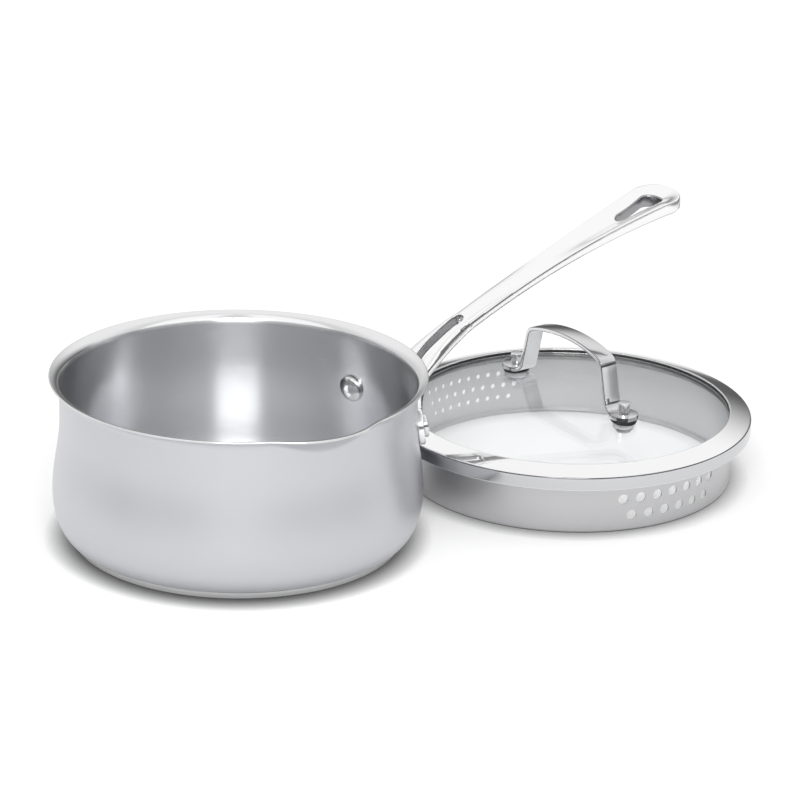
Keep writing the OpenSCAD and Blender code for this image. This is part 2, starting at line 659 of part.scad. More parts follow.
module barrel_nut() color(bright_steel) {
    edge = 0.5;
    translate([0, 0, nut_seat_h]) difference() {
        rotate_extrude() polygon([
            [0, 0], [nut_d / 2, 0], [nut_d / 2, nut_h - edge], [nut_d / 2 - edge, nut_h], [0, nut_h]]);
        translate([0, 0, -1]) cylinder(d = screw_hole_d, h = nut_h);
    }
}
module at_foot(side) {
    at_lid() rotate([0, 0, side > 0 ? 0 : 180]) translate([0, screw_r, 0]) children();
}

pan_body();
base_core();
base_cap();
long_handle();
handle_rivet(1);  // handle_rivet_left
handle_rivet(-1);  // handle_rivet_right
at_lid() strainer_skirt();
at_lid() lid_rim_band();
at_lid() glass_seal();
at_lid() lid_glass();
at_lid() lid_handle();
at_foot(-1) upper_gasket();  // front_upper_gasket
at_foot(-1) lower_gasket();  // front_lower_gasket
at_foot(-1) washer();  // front_washer
at_foot(-1) screw();  // front_screw
at_foot(-1) barrel_nut();  // front_barrel_nut
at_foot(1) upper_gasket();  // rear_upper_gasket
at_foot(1) lower_gasket();  // rear_lower_gasket
at_foot(1) washer();  // rear_washer
at_foot(1) screw();  // rear_screw
at_foot(1) barrel_nut();  // rear_barrel_nut
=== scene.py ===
import bpy
import bmesh
import math
from mathutils import Matrix, Vector


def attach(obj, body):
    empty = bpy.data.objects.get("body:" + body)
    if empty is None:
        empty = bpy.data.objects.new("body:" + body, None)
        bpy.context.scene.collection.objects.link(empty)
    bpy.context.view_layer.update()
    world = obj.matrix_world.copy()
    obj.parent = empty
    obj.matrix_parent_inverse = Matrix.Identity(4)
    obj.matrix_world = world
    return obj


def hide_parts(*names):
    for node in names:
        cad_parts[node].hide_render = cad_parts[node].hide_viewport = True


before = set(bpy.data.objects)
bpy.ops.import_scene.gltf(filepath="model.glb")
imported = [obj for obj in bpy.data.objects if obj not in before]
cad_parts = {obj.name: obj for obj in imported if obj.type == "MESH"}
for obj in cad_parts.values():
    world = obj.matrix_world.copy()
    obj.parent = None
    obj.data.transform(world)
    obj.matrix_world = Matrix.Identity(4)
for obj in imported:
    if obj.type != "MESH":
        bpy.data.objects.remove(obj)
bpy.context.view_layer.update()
mm = 0.001
print("frame loaded:", len(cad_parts), "CAD nodes")


def clamp(x):
    return min(1.0, max(0.0, x))


def ease(t):
    return (1 - math.cos(math.pi * clamp(t))) / 2


def softMax(a, b, soft):
    gap = max(soft - abs(a - b), 0.0)
    return max(a, b) + gap * gap / (4 * soft)


def steps(count, start=0.0, end=1.0):
    return [start + (end - start) * i / count for i in range(count + 1)]


# a point of the soft bend from one point to another past a corner
def bendPoint(start, corner, end, t):
    return (1 - t) ** 2 * start + 2 * t * (1 - t) * corner + t * t * end


# unit direction of a path at each of its points
def directions(path, closed=False):
    out = []
    for i in range(len(path)):
        ax, ay = path[i - 1 if closed else max(0, i - 1)]
        bx, by = path[(i + 1) % len(path) if closed else min(len(path) - 1, i + 1)]
        length = math.hypot(bx - ax, by - ay)
        out.append(((bx - ax) / length, (by - ay) / length))
    return out


# inner side of a path, a sheet's thickness to its left
def beside(path, distance):
    return [(x - v * distance, y + u * distance) for (x, y), (u, v) in zip(path, directions(path))]


# closed outline of (x, y, corner radius) with its corners turned into small bends
def softOutline(corners, bendSteps=4):
    out = []
    for i, (x, y, r) in enumerate(corners):
        p = Vector((x, y))
        a = Vector(corners[i - 1][:2]) - p
        b = Vector(corners[(i + 1) % len(corners)][:2]) - p
        if r <= 0 or a.length < 1e-6 or b.length < 1e-6:
            out.append((x, y))
            continue
        reach = r / max(0.2, math.tan(a.angle(b) / 2))
        start = p + a.normalized() * min(reach, a.length * 0.48)
        end = p + b.normalized() * min(reach, b.length * 0.48)
        out += [tuple(bendPoint(start, p, end, t)) for t in steps(bendSteps)]
    return out


# quads between closed rings of points that follow each other
def ringFaces(rings, turns, start=0):
    faces = []
    for i in range(rings - 1):
        low, high = start + i * turns, start + (i + 1) * turns
        for k in range(turns):
            n = (k + 1) % turns
            faces.append([low + k, low + n, high + n, high + k])
    return faces


# closed outline of (radius, height) turned about the upright axis
def turned(outline, turns=360):
    angles = [2 * math.pi * k / turns for k in range(turns)]
    points, rings, faces = [], [], []
    for r, z in outline:
        if r < 1e-6:
            rings.append([len(points)] * turns)
            points.append((0, 0, z))
        else:
            rings.append(list(range(len(points), len(points) + turns)))
            points += [(r * math.cos(a), r * math.sin(a), z) for a in angles]
    for low, high in zip(rings, rings[1:] + rings[:1]):
        for k in range(turns):
            n = (k + 1) % turns
            face = list(dict.fromkeys([low[k], low[n], high[n], high[k]]))
            if len(face) > 2:
                faces.append(face)
    return points, faces


def addObject(name, data):
    item = bpy.data.objects.new(name, data)
    bpy.context.scene.collection.objects.link(item)
    return item


# mesh object from points in mm, moved to its place, seams closed, faces outwards
def makePiece(name, points, faces, finish, place=Matrix(), sharp=40):
    mesh = bpy.data.meshes.new(name)
    mesh.from_pydata([place @ Vector(p) * mm for p in points], [], faces)
    piece = addObject(name, mesh)
    mesh.materials.append(finish)
    tidyMesh(mesh, sharp)
    return piece


def tidyMesh(mesh, sharp=40):
    work = bmesh.new()
    work.from_mesh(mesh)
    bmesh.ops.remove_doubles(work, verts=work.verts, dist=2e-6)
    bmesh.ops.dissolve_degenerate(work, edges=work.edges, dist=1e-7)
    bmesh.ops.recalc_face_normals(work, faces=work.faces)
    work.to_mesh(mesh)
    work.free()
    mesh.shade_smooth()
    mesh.set_sharp_from_angle(angle=math.radians(sharp))


def addFinishes(piece, *finishes):
    for finish in finishes:
        piece.data.materials.append(finish)


def dress(piece, body, slotName, *nodes):
    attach(piece, body)
    if nodes:
        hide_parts(*nodes)
    return piece


view = dict(place=(-0.8989, -1.6536, 0.7926), pitch=20.91, heading=-31.0, roll=1.19, lens=180.0)


def makeCamera():
    data = bpy.data.cameras.new("camera")
    data.lens = view["lens"]
    data.sensor_width = 36.0
    camera = addObject("camera", data)
    camera.matrix_world = (Matrix.Translation(view["place"])
                           @ Matrix.Rotation(math.radians(view["heading"]), 4, "Z")
                           @ Matrix.Rotation(math.radians(90 - view["pitch"]), 4, "X")
                           @ Matrix.Rotation(math.radians(view["roll"]), 4, "Z"))
    bpy.context.scene.camera = camera


makeCamera()


# nodes: sockets are passed by name, values or links alike
def addNode(tree, kind, settings=None, **sockets):
    node = tree.nodes.new(kind)
    for key, value in (settings or {}).items():
        setattr(node, key, value)
    for key, value in sockets.items():
        numbered = key[0] == "i" and key[1:].isdigit()
        socket = node.inputs[int(key[1:]) if numbered else key.replace("_", " ")]
        if isinstance(value, bpy.types.NodeSocket):
            tree.links.new(value, socket)
        else:
            socket.default_value = value
    return node


# the tree comes from whichever of the two values is a socket
def mathNode(operation, a, b=0.0):
    tree = (a if isinstance(a, bpy.types.NodeSocket) else b).id_data
    return addNode(tree, "ShaderNodeMath", {"operation": operation}, i0=a, i1=b).outputs[0]


def plus(a, b):
    return mathNode("ADD", a, b)


def minus(a, b):
    return mathNode("SUBTRACT", a, b)


def times(a, b):
    return mathNode("MULTIPLY", a, b)


def over(a, b):
    return mathNode("DIVIDE", a, b)


def vectorNode(operation, a, b=(0, 0, 0)):
    node = addNode(a.id_data, "ShaderNodeVectorMath", {"operation": operation}, i0=a, i1=b)
    return node.outputs["Value" if operation in ("DOT_PRODUCT", "LENGTH", "DISTANCE") else 0]


# a soft step from one level to another while the value goes from low to high
def softStep(value, low, high, start=0.0, end=1.0):
    settings = {"interpolation_type": "SMOOTHSTEP"}
    return addNode(value.id_data, "ShaderNodeMapRange", settings, i0=value, i1=low, i2=high, i3=start,
                   i4=end).outputs[0]


def joinXYZ(tree, x=0.0, y=0.0, z=0.0):
    return addNode(tree, "ShaderNodeCombineXYZ", i0=x, i1=y, i2=z).outputs[0]


def objectPlace(tree):
    return addNode(tree, "ShaderNodeTexCoord").outputs["Object"]


def newMaterial(name):
    material = bpy.data.materials.new(name)
    material.use_nodes = True
    material.node_tree.nodes.clear()
    return material, material.node_tree


light = dict(skyLevel=1.0, horizonTop=0.1, skyStart=0.58, backHorizon=0.12, paleHorizon=0.72,
             darkHeading=60.0, darkEdges=(0.69, 0.82), frontLevel=0.75, frontEdges=(-0.3, 0.3),
             boxLift=0.4, leftBox=(8.0, 64.0), rightBox=(-71.0, -20.0), boxEdge=3.0,
             gap=(0.076, 0.32), gapEdge=0.02, gapDepth=0.9,
             lampPlace=(-0.74, -1.42, 1.25), lampAim=(0.0, 0.0, 0.05), lampSize=(0.85, 0.5), lampPower=13.5)


# 1 between two values, 0 outside, with soft sides
def softWindow(value, limits, edge):
    low, high = limits
    return times(softStep(value, low - edge, low + edge), softStep(value, high - edge, high + edge, 1, 0))


# white behind the object for the camera and through glass; for light and mirrors a pale room,
# dark low down at the back, with a wide soft box on each side of the camera and a dark gap under them
def makeWorld():
    world = bpy.data.worlds.new("studio")
    bpy.context.scene.world = world
    world.use_nodes = True
    tree = world.node_tree
    tree.nodes.clear()
    rays = addNode(tree, "ShaderNodeLightPath").outputs
    direction = addNode(tree, "ShaderNodeTexCoord").outputs["Generated"]
    height = addNode(tree, "ShaderNodeSeparateXYZ", i0=direction).outputs[2]
    dark, heading = math.radians(light["darkHeading"]), math.radians(view["heading"])
    towardsDark = vectorNode("DOT_PRODUCT", direction, (math.sin(dark), math.cos(dark), 0))
    horizon = softStep(towardsDark, *light["darkEdges"], light["paleHorizon"], light["backHorizon"])
    back = softStep(height, light["horizonTop"], light["skyStart"], horizon, light["skyLevel"])
    towards = vectorNode("DOT_PRODUCT", direction, (math.sin(heading), -math.cos(heading), 0))
    aside = vectorNode("DOT_PRODUCT", direction, (-math.cos(heading), -math.sin(heading), 0))
    angle = mathNode("DEGREES", mathNode("ARCTAN2", aside, towards))
    boxes = plus(*[softWindow(angle, light[box], light["boxEdge"]) for box in ("leftBox", "rightBox")])
    lit = plus(light["frontLevel"], times(boxes, light["boxLift"]))
    gap = times(softWindow(height, light["gap"], light["gapEdge"]), light["gapDepth"])
    front = times(lit, minus(1.0, gap))
    share = softStep(towards, *light["frontEdges"])
    level = addNode(tree, "ShaderNodeMix", {"data_type": "FLOAT"}, i0=share, i2=back, i3=front).outputs[0]
    backdrop = mathNode("MAXIMUM", rays["Is Camera Ray"], rays["Is Transmission Ray"])
    plain = addNode(tree, "ShaderNodeBackground", Color=(1, 1, 1, 1), Strength=1.0)
    studio = addNode(tree, "ShaderNodeBackground", Color=(1, 1, 1, 1), Strength=level)
    mix = addNode(tree, "ShaderNodeMixShader", i0=backdrop, i1=studio.outputs[0], i2=plain.outputs[0])
    addNode(tree, "ShaderNodeOutputWorld", i0=mix.outputs[0])


def makeFrontLight():
    data = bpy.data.lights.new("frontLight", "AREA")
    data.shape = "RECTANGLE"
    data.size, data.size_y = light["lampSize"]
    data.energy = light["lampPower"]
    lamp = addObject("frontLight", data)
    place = Vector(light["lampPlace"])
    lamp.location = place
    lamp.rotation_euler = (Vector(light["lampAim"]) - place).to_track_quat("-Z", "Y").to_euler()


studioFloor = dict(half=6.0, tone=0.8, glow=0.25, glassGlow=0.15, mirrorGlow=0.13, paintedShadowReach=0.0125,
                   paintedShadowLean=(0.2, 0.33, 0.92), mirrorPaintedShadow=0.4, fadeCentre=(-0.3, -0.6, 0),
                   fadeStart=0.95, fadeEnd=1.8, farTone=0.2)


# the floor is white away from shadows; near the objects ambient occlusion darkens it as a painted contact
# shadow, fainter in mirrors, and mirrors see it dim with distance, a painted dark reflection
def makeFloor():
    material, tree = newMaterial("studioFloor")
    rays = addNode(tree, "ShaderNodeLightPath").outputs
    seen = times(rays["Is Camera Ray"], studioFloor["glow"])
    for ray, glow in (("Is Transmission Ray", "glassGlow"), ("Is Glossy Ray", "mirrorGlow")):
        seen = plus(seen, times(rays[ray], studioFloor[glow]))
    # painted contact shadow: ambient occlusion darkens the floor's tone and glow near the objects
    free = addNode(tree, "ShaderNodeAmbientOcclusion", {"samples": 8}, Distance=studioFloor["paintedShadowReach"],
                   Normal=joinXYZ(tree, *studioFloor["paintedShadowLean"])).outputs["AO"]
    depth = mathNode("MAXIMUM", rays["Is Camera Ray"], studioFloor["mirrorPaintedShadow"])
    paintedShadowFactor = minus(1.0, times(minus(1.0, free), depth))
    tone = times(paintedShadowFactor, studioFloor["tone"])
    grey = addNode(tree, "ShaderNodeCombineColor", i0=tone, i1=tone, i2=tone).outputs[0]
    matt = addNode(tree, "ShaderNodeBsdfDiffuse", Color=grey)
    glow = addNode(tree, "ShaderNodeEmission", Color=(1, 1, 1, 1), Strength=times(seen, paintedShadowFactor))
    near = addNode(tree, "ShaderNodeAddShader", i0=matt.outputs[0], i1=glow.outputs[0])
    farTone = studioFloor["farTone"]
    far = addNode(tree, "ShaderNodeEmission", Color=(farTone, farTone, farTone, 1), Strength=1.0)
    place = objectPlace(tree)
    distance = vectorNode("DISTANCE", place, studioFloor["fadeCentre"])
    fade = softStep(distance, studioFloor["fadeStart"], studioFloor["fadeEnd"])
    share = times(fade, rays["Is Glossy Ray"])
    both = addNode(tree, "ShaderNodeMixShader", i0=share, i1=near.outputs[0], i2=far.outputs[0])
    addNode(tree, "ShaderNodeOutputMaterial", i0=both.outputs[0])
    mesh = bpy.data.meshes.new("floor")
    half = studioFloor["half"]
    corners = [(-half, -half, 0), (half, -half, 0), (half, half, 0), (-half, half, 0)]
    mesh.from_pydata(corners, [], [(0, 1, 2, 3)])
    mesh.materials.append(material)
    addObject("floor", mesh)


bpy.context.scene.view_settings.view_transform = "Standard"
makeWorld()
makeFrontLight()
makeFloor()
print("stage set")


def noise(tree, place, scale, detail, **more):
    return addNode(tree, "ShaderNodeTexNoise", Vector=place, Scale=scale, Detail=detail, **more).outputs[0]


# one colour, a little darker or paler where the pattern says
def unevenColour(pattern, colour, low, high=1.0):
    ends = [(*[c * share for c in colour], 1) for share in (low, high)]
    return addNode(pattern.id_data, "ShaderNodeMix", {"data_type": "RGBA"}, i0=pattern, i6=ends[0],
                   i7=ends[1]).outputs[2]


def finishShader(tree, tint, rough, relief, bump, **more):
    normal = addNode(tree, "ShaderNodeBump", Strength=bump, Distance=0.0002, Height=relief).outputs[0]
    shader = addNode(tree, "ShaderNodeBsdfPrincipled", Base_Color=tint, Roughness=rough, Normal=normal,
                     **more)
    addNode(tree, "ShaderNodeOutputMaterial", i0=shader.outputs[0])


grinding = dict(fineness=2400.0, turnFineness=1.6, middle=0.7, clouds=0.4)


# roughness follows the grinding lines, and wide clouds in it keep a plain wall alive
def unevenGrinding(lines, clouds, roughness, grain):
    pattern = plus(lines, times(clouds, grinding["clouds"]))
    return plus(roughness - grain * grinding["middle"], times(pattern, grain))


# steel ground round an upright axis: fine rings in roughness and bump, reflections drawn out across them
def turnedSteel(name, colour, roughness, centre=(0, 0), grain=0.06, bump=0.02, anisotropic=0.5):
    material, tree = newMaterial(name)
    place = objectPlace(tree)
    moved = vectorNode("SUBTRACT", place, (centre[0] * mm, centre[1] * mm, 0))
    x, y, z = addNode(tree, "ShaderNodeSeparateXYZ", i0=moved).outputs
    flat = joinXYZ(tree, x, y)
    outwards = times(vectorNode("LENGTH", flat), grinding["fineness"])
    upwards = times(z, grinding["fineness"])
    onwards = times(mathNode("ARCTAN2", y, x), grinding["turnFineness"])
    rings = noise(tree, joinXYZ(tree, outwards, upwards, onwards), 1.0, 3.0, Roughness=0.6)
    rough = unevenGrinding(rings, noise(tree, moved, 28.0, 2.0), roughness, grain)
    around = addNode(tree, "ShaderNodeVectorMath", {"operation": "CROSS_PRODUCT"}, i0=(0, 0, 1), i1=flat)
    finishShader(tree, unevenColour(rings, colour, 0.96), rough, rings, bump, Metallic=1.0,
                 Anisotropic=anisotropic, Anisotropic_Rotation=0.25, Tangent=around.outputs[0])
    return material


# steel ground along X: fine straight lines
def drawnSteel(name, colour, roughness, grain=0.05, bump=0.02, fineness=(30.0, 1500.0, 1500.0), turn=0.0):
    material, tree = newMaterial(name)
    place = objectPlace(tree)
    mapped = addNode(tree, "ShaderNodeMapping", {"vector_type": "TEXTURE"}, Vector=place,
                     Rotation=(0, 0, math.radians(turn))).outputs[0]
    lines = noise(tree, vectorNode("MULTIPLY", mapped, fineness), 1.0, 3.0, Roughness=0.6)
    rough = unevenGrinding(lines, noise(tree, place, 40.0, 2.0), roughness, grain)
    finishShader(tree, unevenColour(lines, colour, 0.97), rough, lines, bump, Metallic=1.0)
    return material


def rubber(name, colour, roughness):
    material, tree = newMaterial(name)
    place = objectPlace(tree)
    pores, clouds = noise(tree, place, 2600.0, 2.0), noise(tree, place, 160.0, 3.0)
    rough = plus(roughness - 0.05, times(clouds, 0.1))
    finishShader(tree, unevenColour(clouds, colour, 0.8, 1.2), rough, pores, 0.15)
    return material


def clearGlass(name):
    material, tree = newMaterial(name)
    place = objectPlace(tree)
    waves = noise(tree, place, 14.0, 1.0)
    relief = addNode(tree, "ShaderNodeBump", Strength=0.02, Distance=0.001, Height=waves).outputs[0]
    edgeTint = addNode(tree, "ShaderNodeLayerWeight", Blend=0.25).outputs["Facing"]
    tint = addNode(tree, "ShaderNodeMix", {"data_type": "RGBA"}, i0=edgeTint,
                   i6=(0.985, 0.985, 0.99, 1), i7=(0.87, 0.91, 0.92, 1)).outputs[2]
    glass = addNode(tree, "ShaderNodeBsdfPrincipled", Base_Color=tint, Roughness=0.0, IOR=1.46,
                    Transmission_Weight=1.0, Normal=relief)
    clear = addNode(tree, "ShaderNodeBsdfTransparent", Color=(0.95, 0.96, 0.96, 1))
    shadow = addNode(tree, "ShaderNodeLightPath").outputs["Is Shadow Ray"]
    mix = addNode(tree, "ShaderNodeMixShader", i0=shadow, i1=glass.outputs[0], i2=clear.outputs[0])
    addNode(tree, "ShaderNodeOutputMaterial", i0=mix.outputs[0])
    return material


lidCentre = (195.2, -6.0)
lidTurn = 6.0
satinWall = turnedSteel("satinWall", (0.66, 0.665, 0.69), 0.34, anisotropic=0.6)
satinInside = turnedSteel("satinInside", (0.71, 0.715, 0.73), 0.29, anisotropic=0.9)
polishedRim = turnedSteel("polishedRim", (0.83, 0.83, 0.84), 0.17, grain=0.02, bump=0.0, anisotropic=0.0)
polishedBand = turnedSteel("polishedBand", (0.93, 0.93, 0.93), 0.05, lidCentre, 0.02, 0.0, anisotropic=0.0)
# the band's upright outer face: rougher, and painted darker for the shaded floor it reflects
bandSidePaintedShade = turnedSteel("bandSidePaintedShade", (0.66, 0.665, 0.68), 0.12, lidCentre, 0.02, 0.0, anisotropic=0.3)
brushedSkirt = turnedSteel("brushedSkirt", (0.62, 0.62, 0.63), 0.32, lidCentre, anisotropic=0.5)
polishedCap = turnedSteel("polishedCap", (0.74, 0.74, 0.74), 0.14, grain=0.04, anisotropic=0.3)
satinHandle = drawnSteel("satinHandle", (0.96, 0.96, 0.96), 0.16)
strapShade = drawnSteel("strapShade", (0.3, 0.3, 0.31), 0.16, grain=0.03, bump=0.01)
satinStrap = drawnSteel("satinStrap", (0.69, 0.69, 0.7), 0.13, fineness=(1500.0, 30.0, 1500.0), turn=lidTurn)
# dark steel for the handle's slot and hole walls: painted shade
handleWallPaintedShade = drawnSteel("handleWallPaintedShade", (0.36, 0.36, 0.37), 0.25)
polishedEdge = drawnSteel("polishedEdge", (0.88, 0.88, 0.88), 0.08, grain=0.02, bump=0.0)
# thin dark lines along rounded edges of the handle, band, strap and rivet heads: a painted dark reflection
paintedEdgeLine = drawnSteel("paintedEdgeLine", (0.15, 0.15, 0.16), 0.15, grain=0.02, bump=0.0)
# the handle's underside: rougher, and darker as painted shade
handleUnderPaintedShade = drawnSteel("handleUnderPaintedShade", (0.74, 0.74, 0.75), 0.2)
polishedRivet = drawnSteel("polishedRivet", (0.8, 0.8, 0.81), 0.07, grain=0.02, bump=0.01)
fastenerSteel = drawnSteel("fastenerSteel", (0.80, 0.80, 0.81), 0.16, grain=0.04)
coreAluminium = drawnSteel("coreAluminium", (0.75, 0.76, 0.77), 0.4)
blackGasket = rubber("blackGasket", (0.02, 0.02, 0.02), 0.45)
paleGasket = rubber("paleGasket", (0.8, 0.8, 0.81), 0.5)
greySeal = rubber("greySeal", (0.06, 0.06, 0.065), 0.5)
lidGlassClear = clearGlass("lidGlassClear")
print("finishes made")


pan = dict(rimR=96.0, rimW=5.9, height=86.9, neckH=64.0, bellySwell=3.9, bellyH=26.0, wall=1.0, rimBend=5.0,
           rimSlope=15.0, baseInset=10.0, baseH=3.6, capEdge=1.6, lipHalfAngle=18.0, lipReach=6.5,
           lipNarrowing=2.8, lipDepth=11.0, lipSoftness=1.8, lipSpan=0.6, satinAbove=2.4, polishedTop=3.2)
neckR = pan["rimR"] - pan["rimW"]
bellyR = neckR + pan["bellySwell"]
baseR = bellyR - pan["baseInset"]
slope = math.radians(pan["rimSlope"])
bendOutR = neckR + pan["rimBend"] * (1 - math.sin(slope))
rimRun = pan["rimR"] - pan["wall"] / 2 - bendOutR
bendH = pan["height"] - (pan["wall"] + pan["rimBend"]) * math.cos(slope) - rimRun * math.tan(slope)


def wallR(z):
    if z < pan["bellyH"]:
        s = (pan["bellyH"] - z) / (pan["bellyH"] - pan["baseH"])
        return baseR + (bellyR - baseR) * math.sqrt(max(0.0, 1 - s * s))
    return bellyR - pan["bellySwell"] * ease((z - pan["bellyH"]) / (pan["neckH"] - pan["bellyH"]))


lipFloor = bendH + 3 - pan["lipDepth"]
lipTipR = pan["rimR"] + pan["lipReach"]
lipEdgeX = pan["rimR"] * math.cos(math.radians(pan["lipHalfAngle"]))
lipAxis = (lipTipR ** 2 - pan["rimR"] ** 2) / (2 * (lipTipR - lipEdgeX))


# how far the pouring lip's middle stands out from the wall at height z
def lipOut(z, wallRadius):
    rise = bendH + pan["rimBend"] - lipFloor
    root = neckR - 0.8 * pan["wall"]
    band = pan["rimW"] - pan["lipNarrowing"]
    t = (z - lipFloor) / rise
    if t <= 0:
        return root - wallRadius
    if t <= 1:
        return root + (lipTipR - band - root) * t ** 1.7 - wallRadius
    top = pan["height"] - pan["wall"] * math.cos(slope)
    return lipTipR - band + band * clamp((z - lipFloor - rise) / (top - lipFloor - rise)) - wallRadius


# outer side of the wall from the floor's middle to the rim, at an angle from the pouring lip
def panOuterPath(turn):
    path = [(r, pan["baseH"]) for r in (0, 20, 42, 62, 76)]
    for a in steps(26, 0, math.pi / 2):
        path.append((baseR + (bellyR - baseR) * math.sin(a),
                     pan["bellyH"] - (pan["bellyH"] - pan["baseH"]) * math.cos(a)))
    path += [(wallR(z), z) for z in steps(22, pan["bellyH"], pan["neckH"])[1:]]
    path += [(neckR, z) for z in steps(14, pan["neckH"], bendH)[1:-1]]
    for a in steps(18, 0, math.pi / 2 - slope):
        path.append((neckR + pan["rimBend"] * (1 - math.cos(a)), bendH + pan["rimBend"] * math.sin(a)))
    lastR, lastH = path[-1]
    run = pan["rimR"] - pan["wall"] / 2 * (1 + math.cos(slope)) - lastR
    path += [(lastR + run * t, lastH + run * t * math.tan(slope)) for t in steps(4)[1:]]
    out = []
    for r, z in path:
        if z > lipFloor - 3 and abs(turn) < pan["lipSpan"]:
            middle = lipOut(z, r)
            rho = max(20.0, r + middle - lipAxis)
            sharpness = lipAxis / 2 * (1 + lipAxis / rho)
            soft = 0.3 + pan["lipSoftness"] * clamp((z - lipFloor) / 12)
            atEnd = softMax(middle - sharpness * pan["lipSpan"] ** 2, 0, soft)
            r += softMax(middle - sharpness * turn * turn, 0, soft) - atEnd
        out.append((r, z))
    return out


def makePan():
    angles = [math.radians(a) for a in list(steps(104, -26, 26)) + list(steps(308, 26, 334))[1:-1]]
    columns = []
    for a in angles:
        turn = a if a < math.pi else a - 2 * math.pi
        outer = panOuterPath(turn)
        inner = beside(outer, pan["wall"])
        inner[0] = (0, inner[0][1])
        lastO, lastI = outer[-1], inner[-1]
        mid = ((lastO[0] + lastI[0]) / 2, (lastO[1] + lastI[1]) / 2)
        half = pan["wall"] / 2
        out = Vector((lastO[1] - lastI[1], lastI[0] - lastO[0])).normalized() * -1
        across = Vector((lastO[0] - mid[0], lastO[1] - mid[1])).normalized()
        edge = [(mid[0] + half * (across.x * math.cos(b) + out.x * math.sin(b)),
                 mid[1] + half * (across.y * math.cos(b) + out.y * math.sin(b)))
                for b in steps(8, 0, math.pi)[1:-1]]
        columns.append((a - math.pi / 2, outer + edge + inner[::-1]))
    rows = len(columns[0][1])
    points, faces = [], []
    for a, column in columns:
        points += [(r * math.cos(a), r * math.sin(a), z) for r, z in column]
    for k in range(len(columns)):
        n = (k + 1) % len(columns)
        for i in range(rows - 1):
            faces.append([k * rows + i, n * rows + i, n * rows + i + 1, k * rows + i + 1])
    piece = makePiece("panBodySmooth", points, faces, satinWall, sharp=50)
    addFinishes(piece, satinInside, polishedRim)
    inside = (bendH + pan["satinAbove"]) * mm
    for face in piece.data.polygons:
        c = face.center
        r = math.hypot(c.x, c.y)
        inward = face.normal.x * c.x + face.normal.y * c.y < 0 or face.normal.z > 0.2
        if inward and c.z > (pan["baseH"] + 0.5) * mm:
            face.material_index = 1 if c.z < inside else 2
        if c.z > (pan["height"] - pan["polishedTop"]) * mm:
            face.material_index = 2
    return dress(piece, "pan", "satin_steel", "pan_body")


makePan()


def makeBaseCap():
    seam = pan["baseH"] - 0.45
    innerR, top = baseR - 1.2, pan["baseH"] - 0.05
    outline = softOutline([(0, 0, 0), (baseR - 0.2, 0, pan["capEdge"] * 1.2), (baseR, 0.8, 0.8),
                           (baseR, seam, 0.18), (innerR, seam, 0), (innerR, top, 0), (0, top, 0)], 6)
    points, faces = turned(outline)
    return dress(makePiece("baseCapSmooth", points, faces, polishedCap), "pan", "polished_steel", "base_cap")


makeBaseCap()
print("pan made")


handle = dict(rivetAngle=20.5, rivetH=53.5, forkLen=41.0, forkRise=39.7, slotW=7.6, gripLen=128.8,
              tipLen=13.6, gripRise=50.4, waistW=16.0, gripW=31.6, thickness=3.4, gripT=6.0, gripMidT=7.5,
              crown=2.8, dish=2.8, tipSlope=0.17, hangLen=26.4, hangW=13.6, hangTailW=7.6, hangWeb=8.3,
              padD=19.0, wallSeat=0.15, bendFrom=0.86, edgeSoftness=0.45, slotDrop=1.9, slotSpare=0.3,
              slotBack=5.0, wallTilt=0.35, gripUp=(-0.48, 0.88), upperPaintedLine=(48, 70), lowerPaintedLine=(110, 138))
forkX = neckR + handle["forkLen"]
straightLen = handle["gripLen"] - handle["tipLen"]
forkH = handle["rivetH"] + handle["forkRise"]
slotHalf = handle["slotW"] / 2
padT = handle["thickness"] + 0.2
# inner edge's distance from the wall, share of the rivet angle and height above the rivet,
# the same for the outer edge, and the tilt of the thickness
armRows = [(0.3, 0.89, -4.8, 0.3, 1.11, 4.8, 97), (0.5, 0.76, -1.5, 1.0, 0.98, 7.1, 84),
           (2.5, 0.56, 4.0, 3.3, 0.75, 12.0, 70), (5.2, 0.34, 10.3, 7.4, 0.53, 15.5, 58),
           (11.0, 0, 19.1, 10.8, 0.38, 18.1, 47), (19.5, 0, 28.0, 19.6, 0.3, 25.4, 38),
           (28.3, 0, 34.7, 28.4, 0.235, 31.8, 33), (35.9, 0, 39.7, 36.3, 0.19, 36.8, 31)]


# a row of the bar: inner edge's x, y, z, outer edge's x, y, z, thickness in the middle and at the edge,
# and the tilt and swing of the thickness
def armRow(row):
    def edge(gap, share, h):
        z = handle["rivetH"] + h
        r, a = wallR(z) + gap, math.radians(share * handle["rivetAngle"])
        return (r * math.cos(a), r * math.sin(a), z) if share > 0 else (r, slotHalf, z)
    swing = (row[1] + row[4]) / 2 * handle["rivetAngle"]
    t = handle["thickness"]
    drop = handle["slotDrop"] * clamp((row[2] - 8) / 14)
    return [*edge(*row[0:3]), *edge(*row[3:6]), t + drop, t, row[6], swing]


def gripH(f):
    return forkH + handle["gripRise"] * f * (1.23 - 0.23 * f)


def gripHalf(f):
    return (handle["waistW"] + (handle["gripW"] - handle["waistW"]) * f ** 2.4) / 2


def gripRow(f):
    t = handle["thickness"] + (handle["gripT"] - handle["thickness"]) * f * f
    x = forkX + straightLen * f
    top = gripH(f) + handle["crown"] - (handle["crown"] + handle["dish"]) * ease(1.15 * f)
    waistMidT = handle["thickness"] + handle["crown"] / 2
    midT = waistMidT + (handle["gripMidT"] - waistMidT) * f * f
    return [x, 0, top, x, gripHalf(f), gripH(f), midT, t, 30 - 18 * f, 0]


def slotEndRow(a):
    row, gap = gripRow(0), math.cos(a)
    x = -slotHalf * (1 - math.sin(a))
    return [row[0] + x, slotHalf * gap, row[2] + x * 0.6, row[3] + x, row[4] + 0.2 * gap, row[5] + x * 0.6,
            row[6] + 0.5 * gap, row[7], row[8], 0]


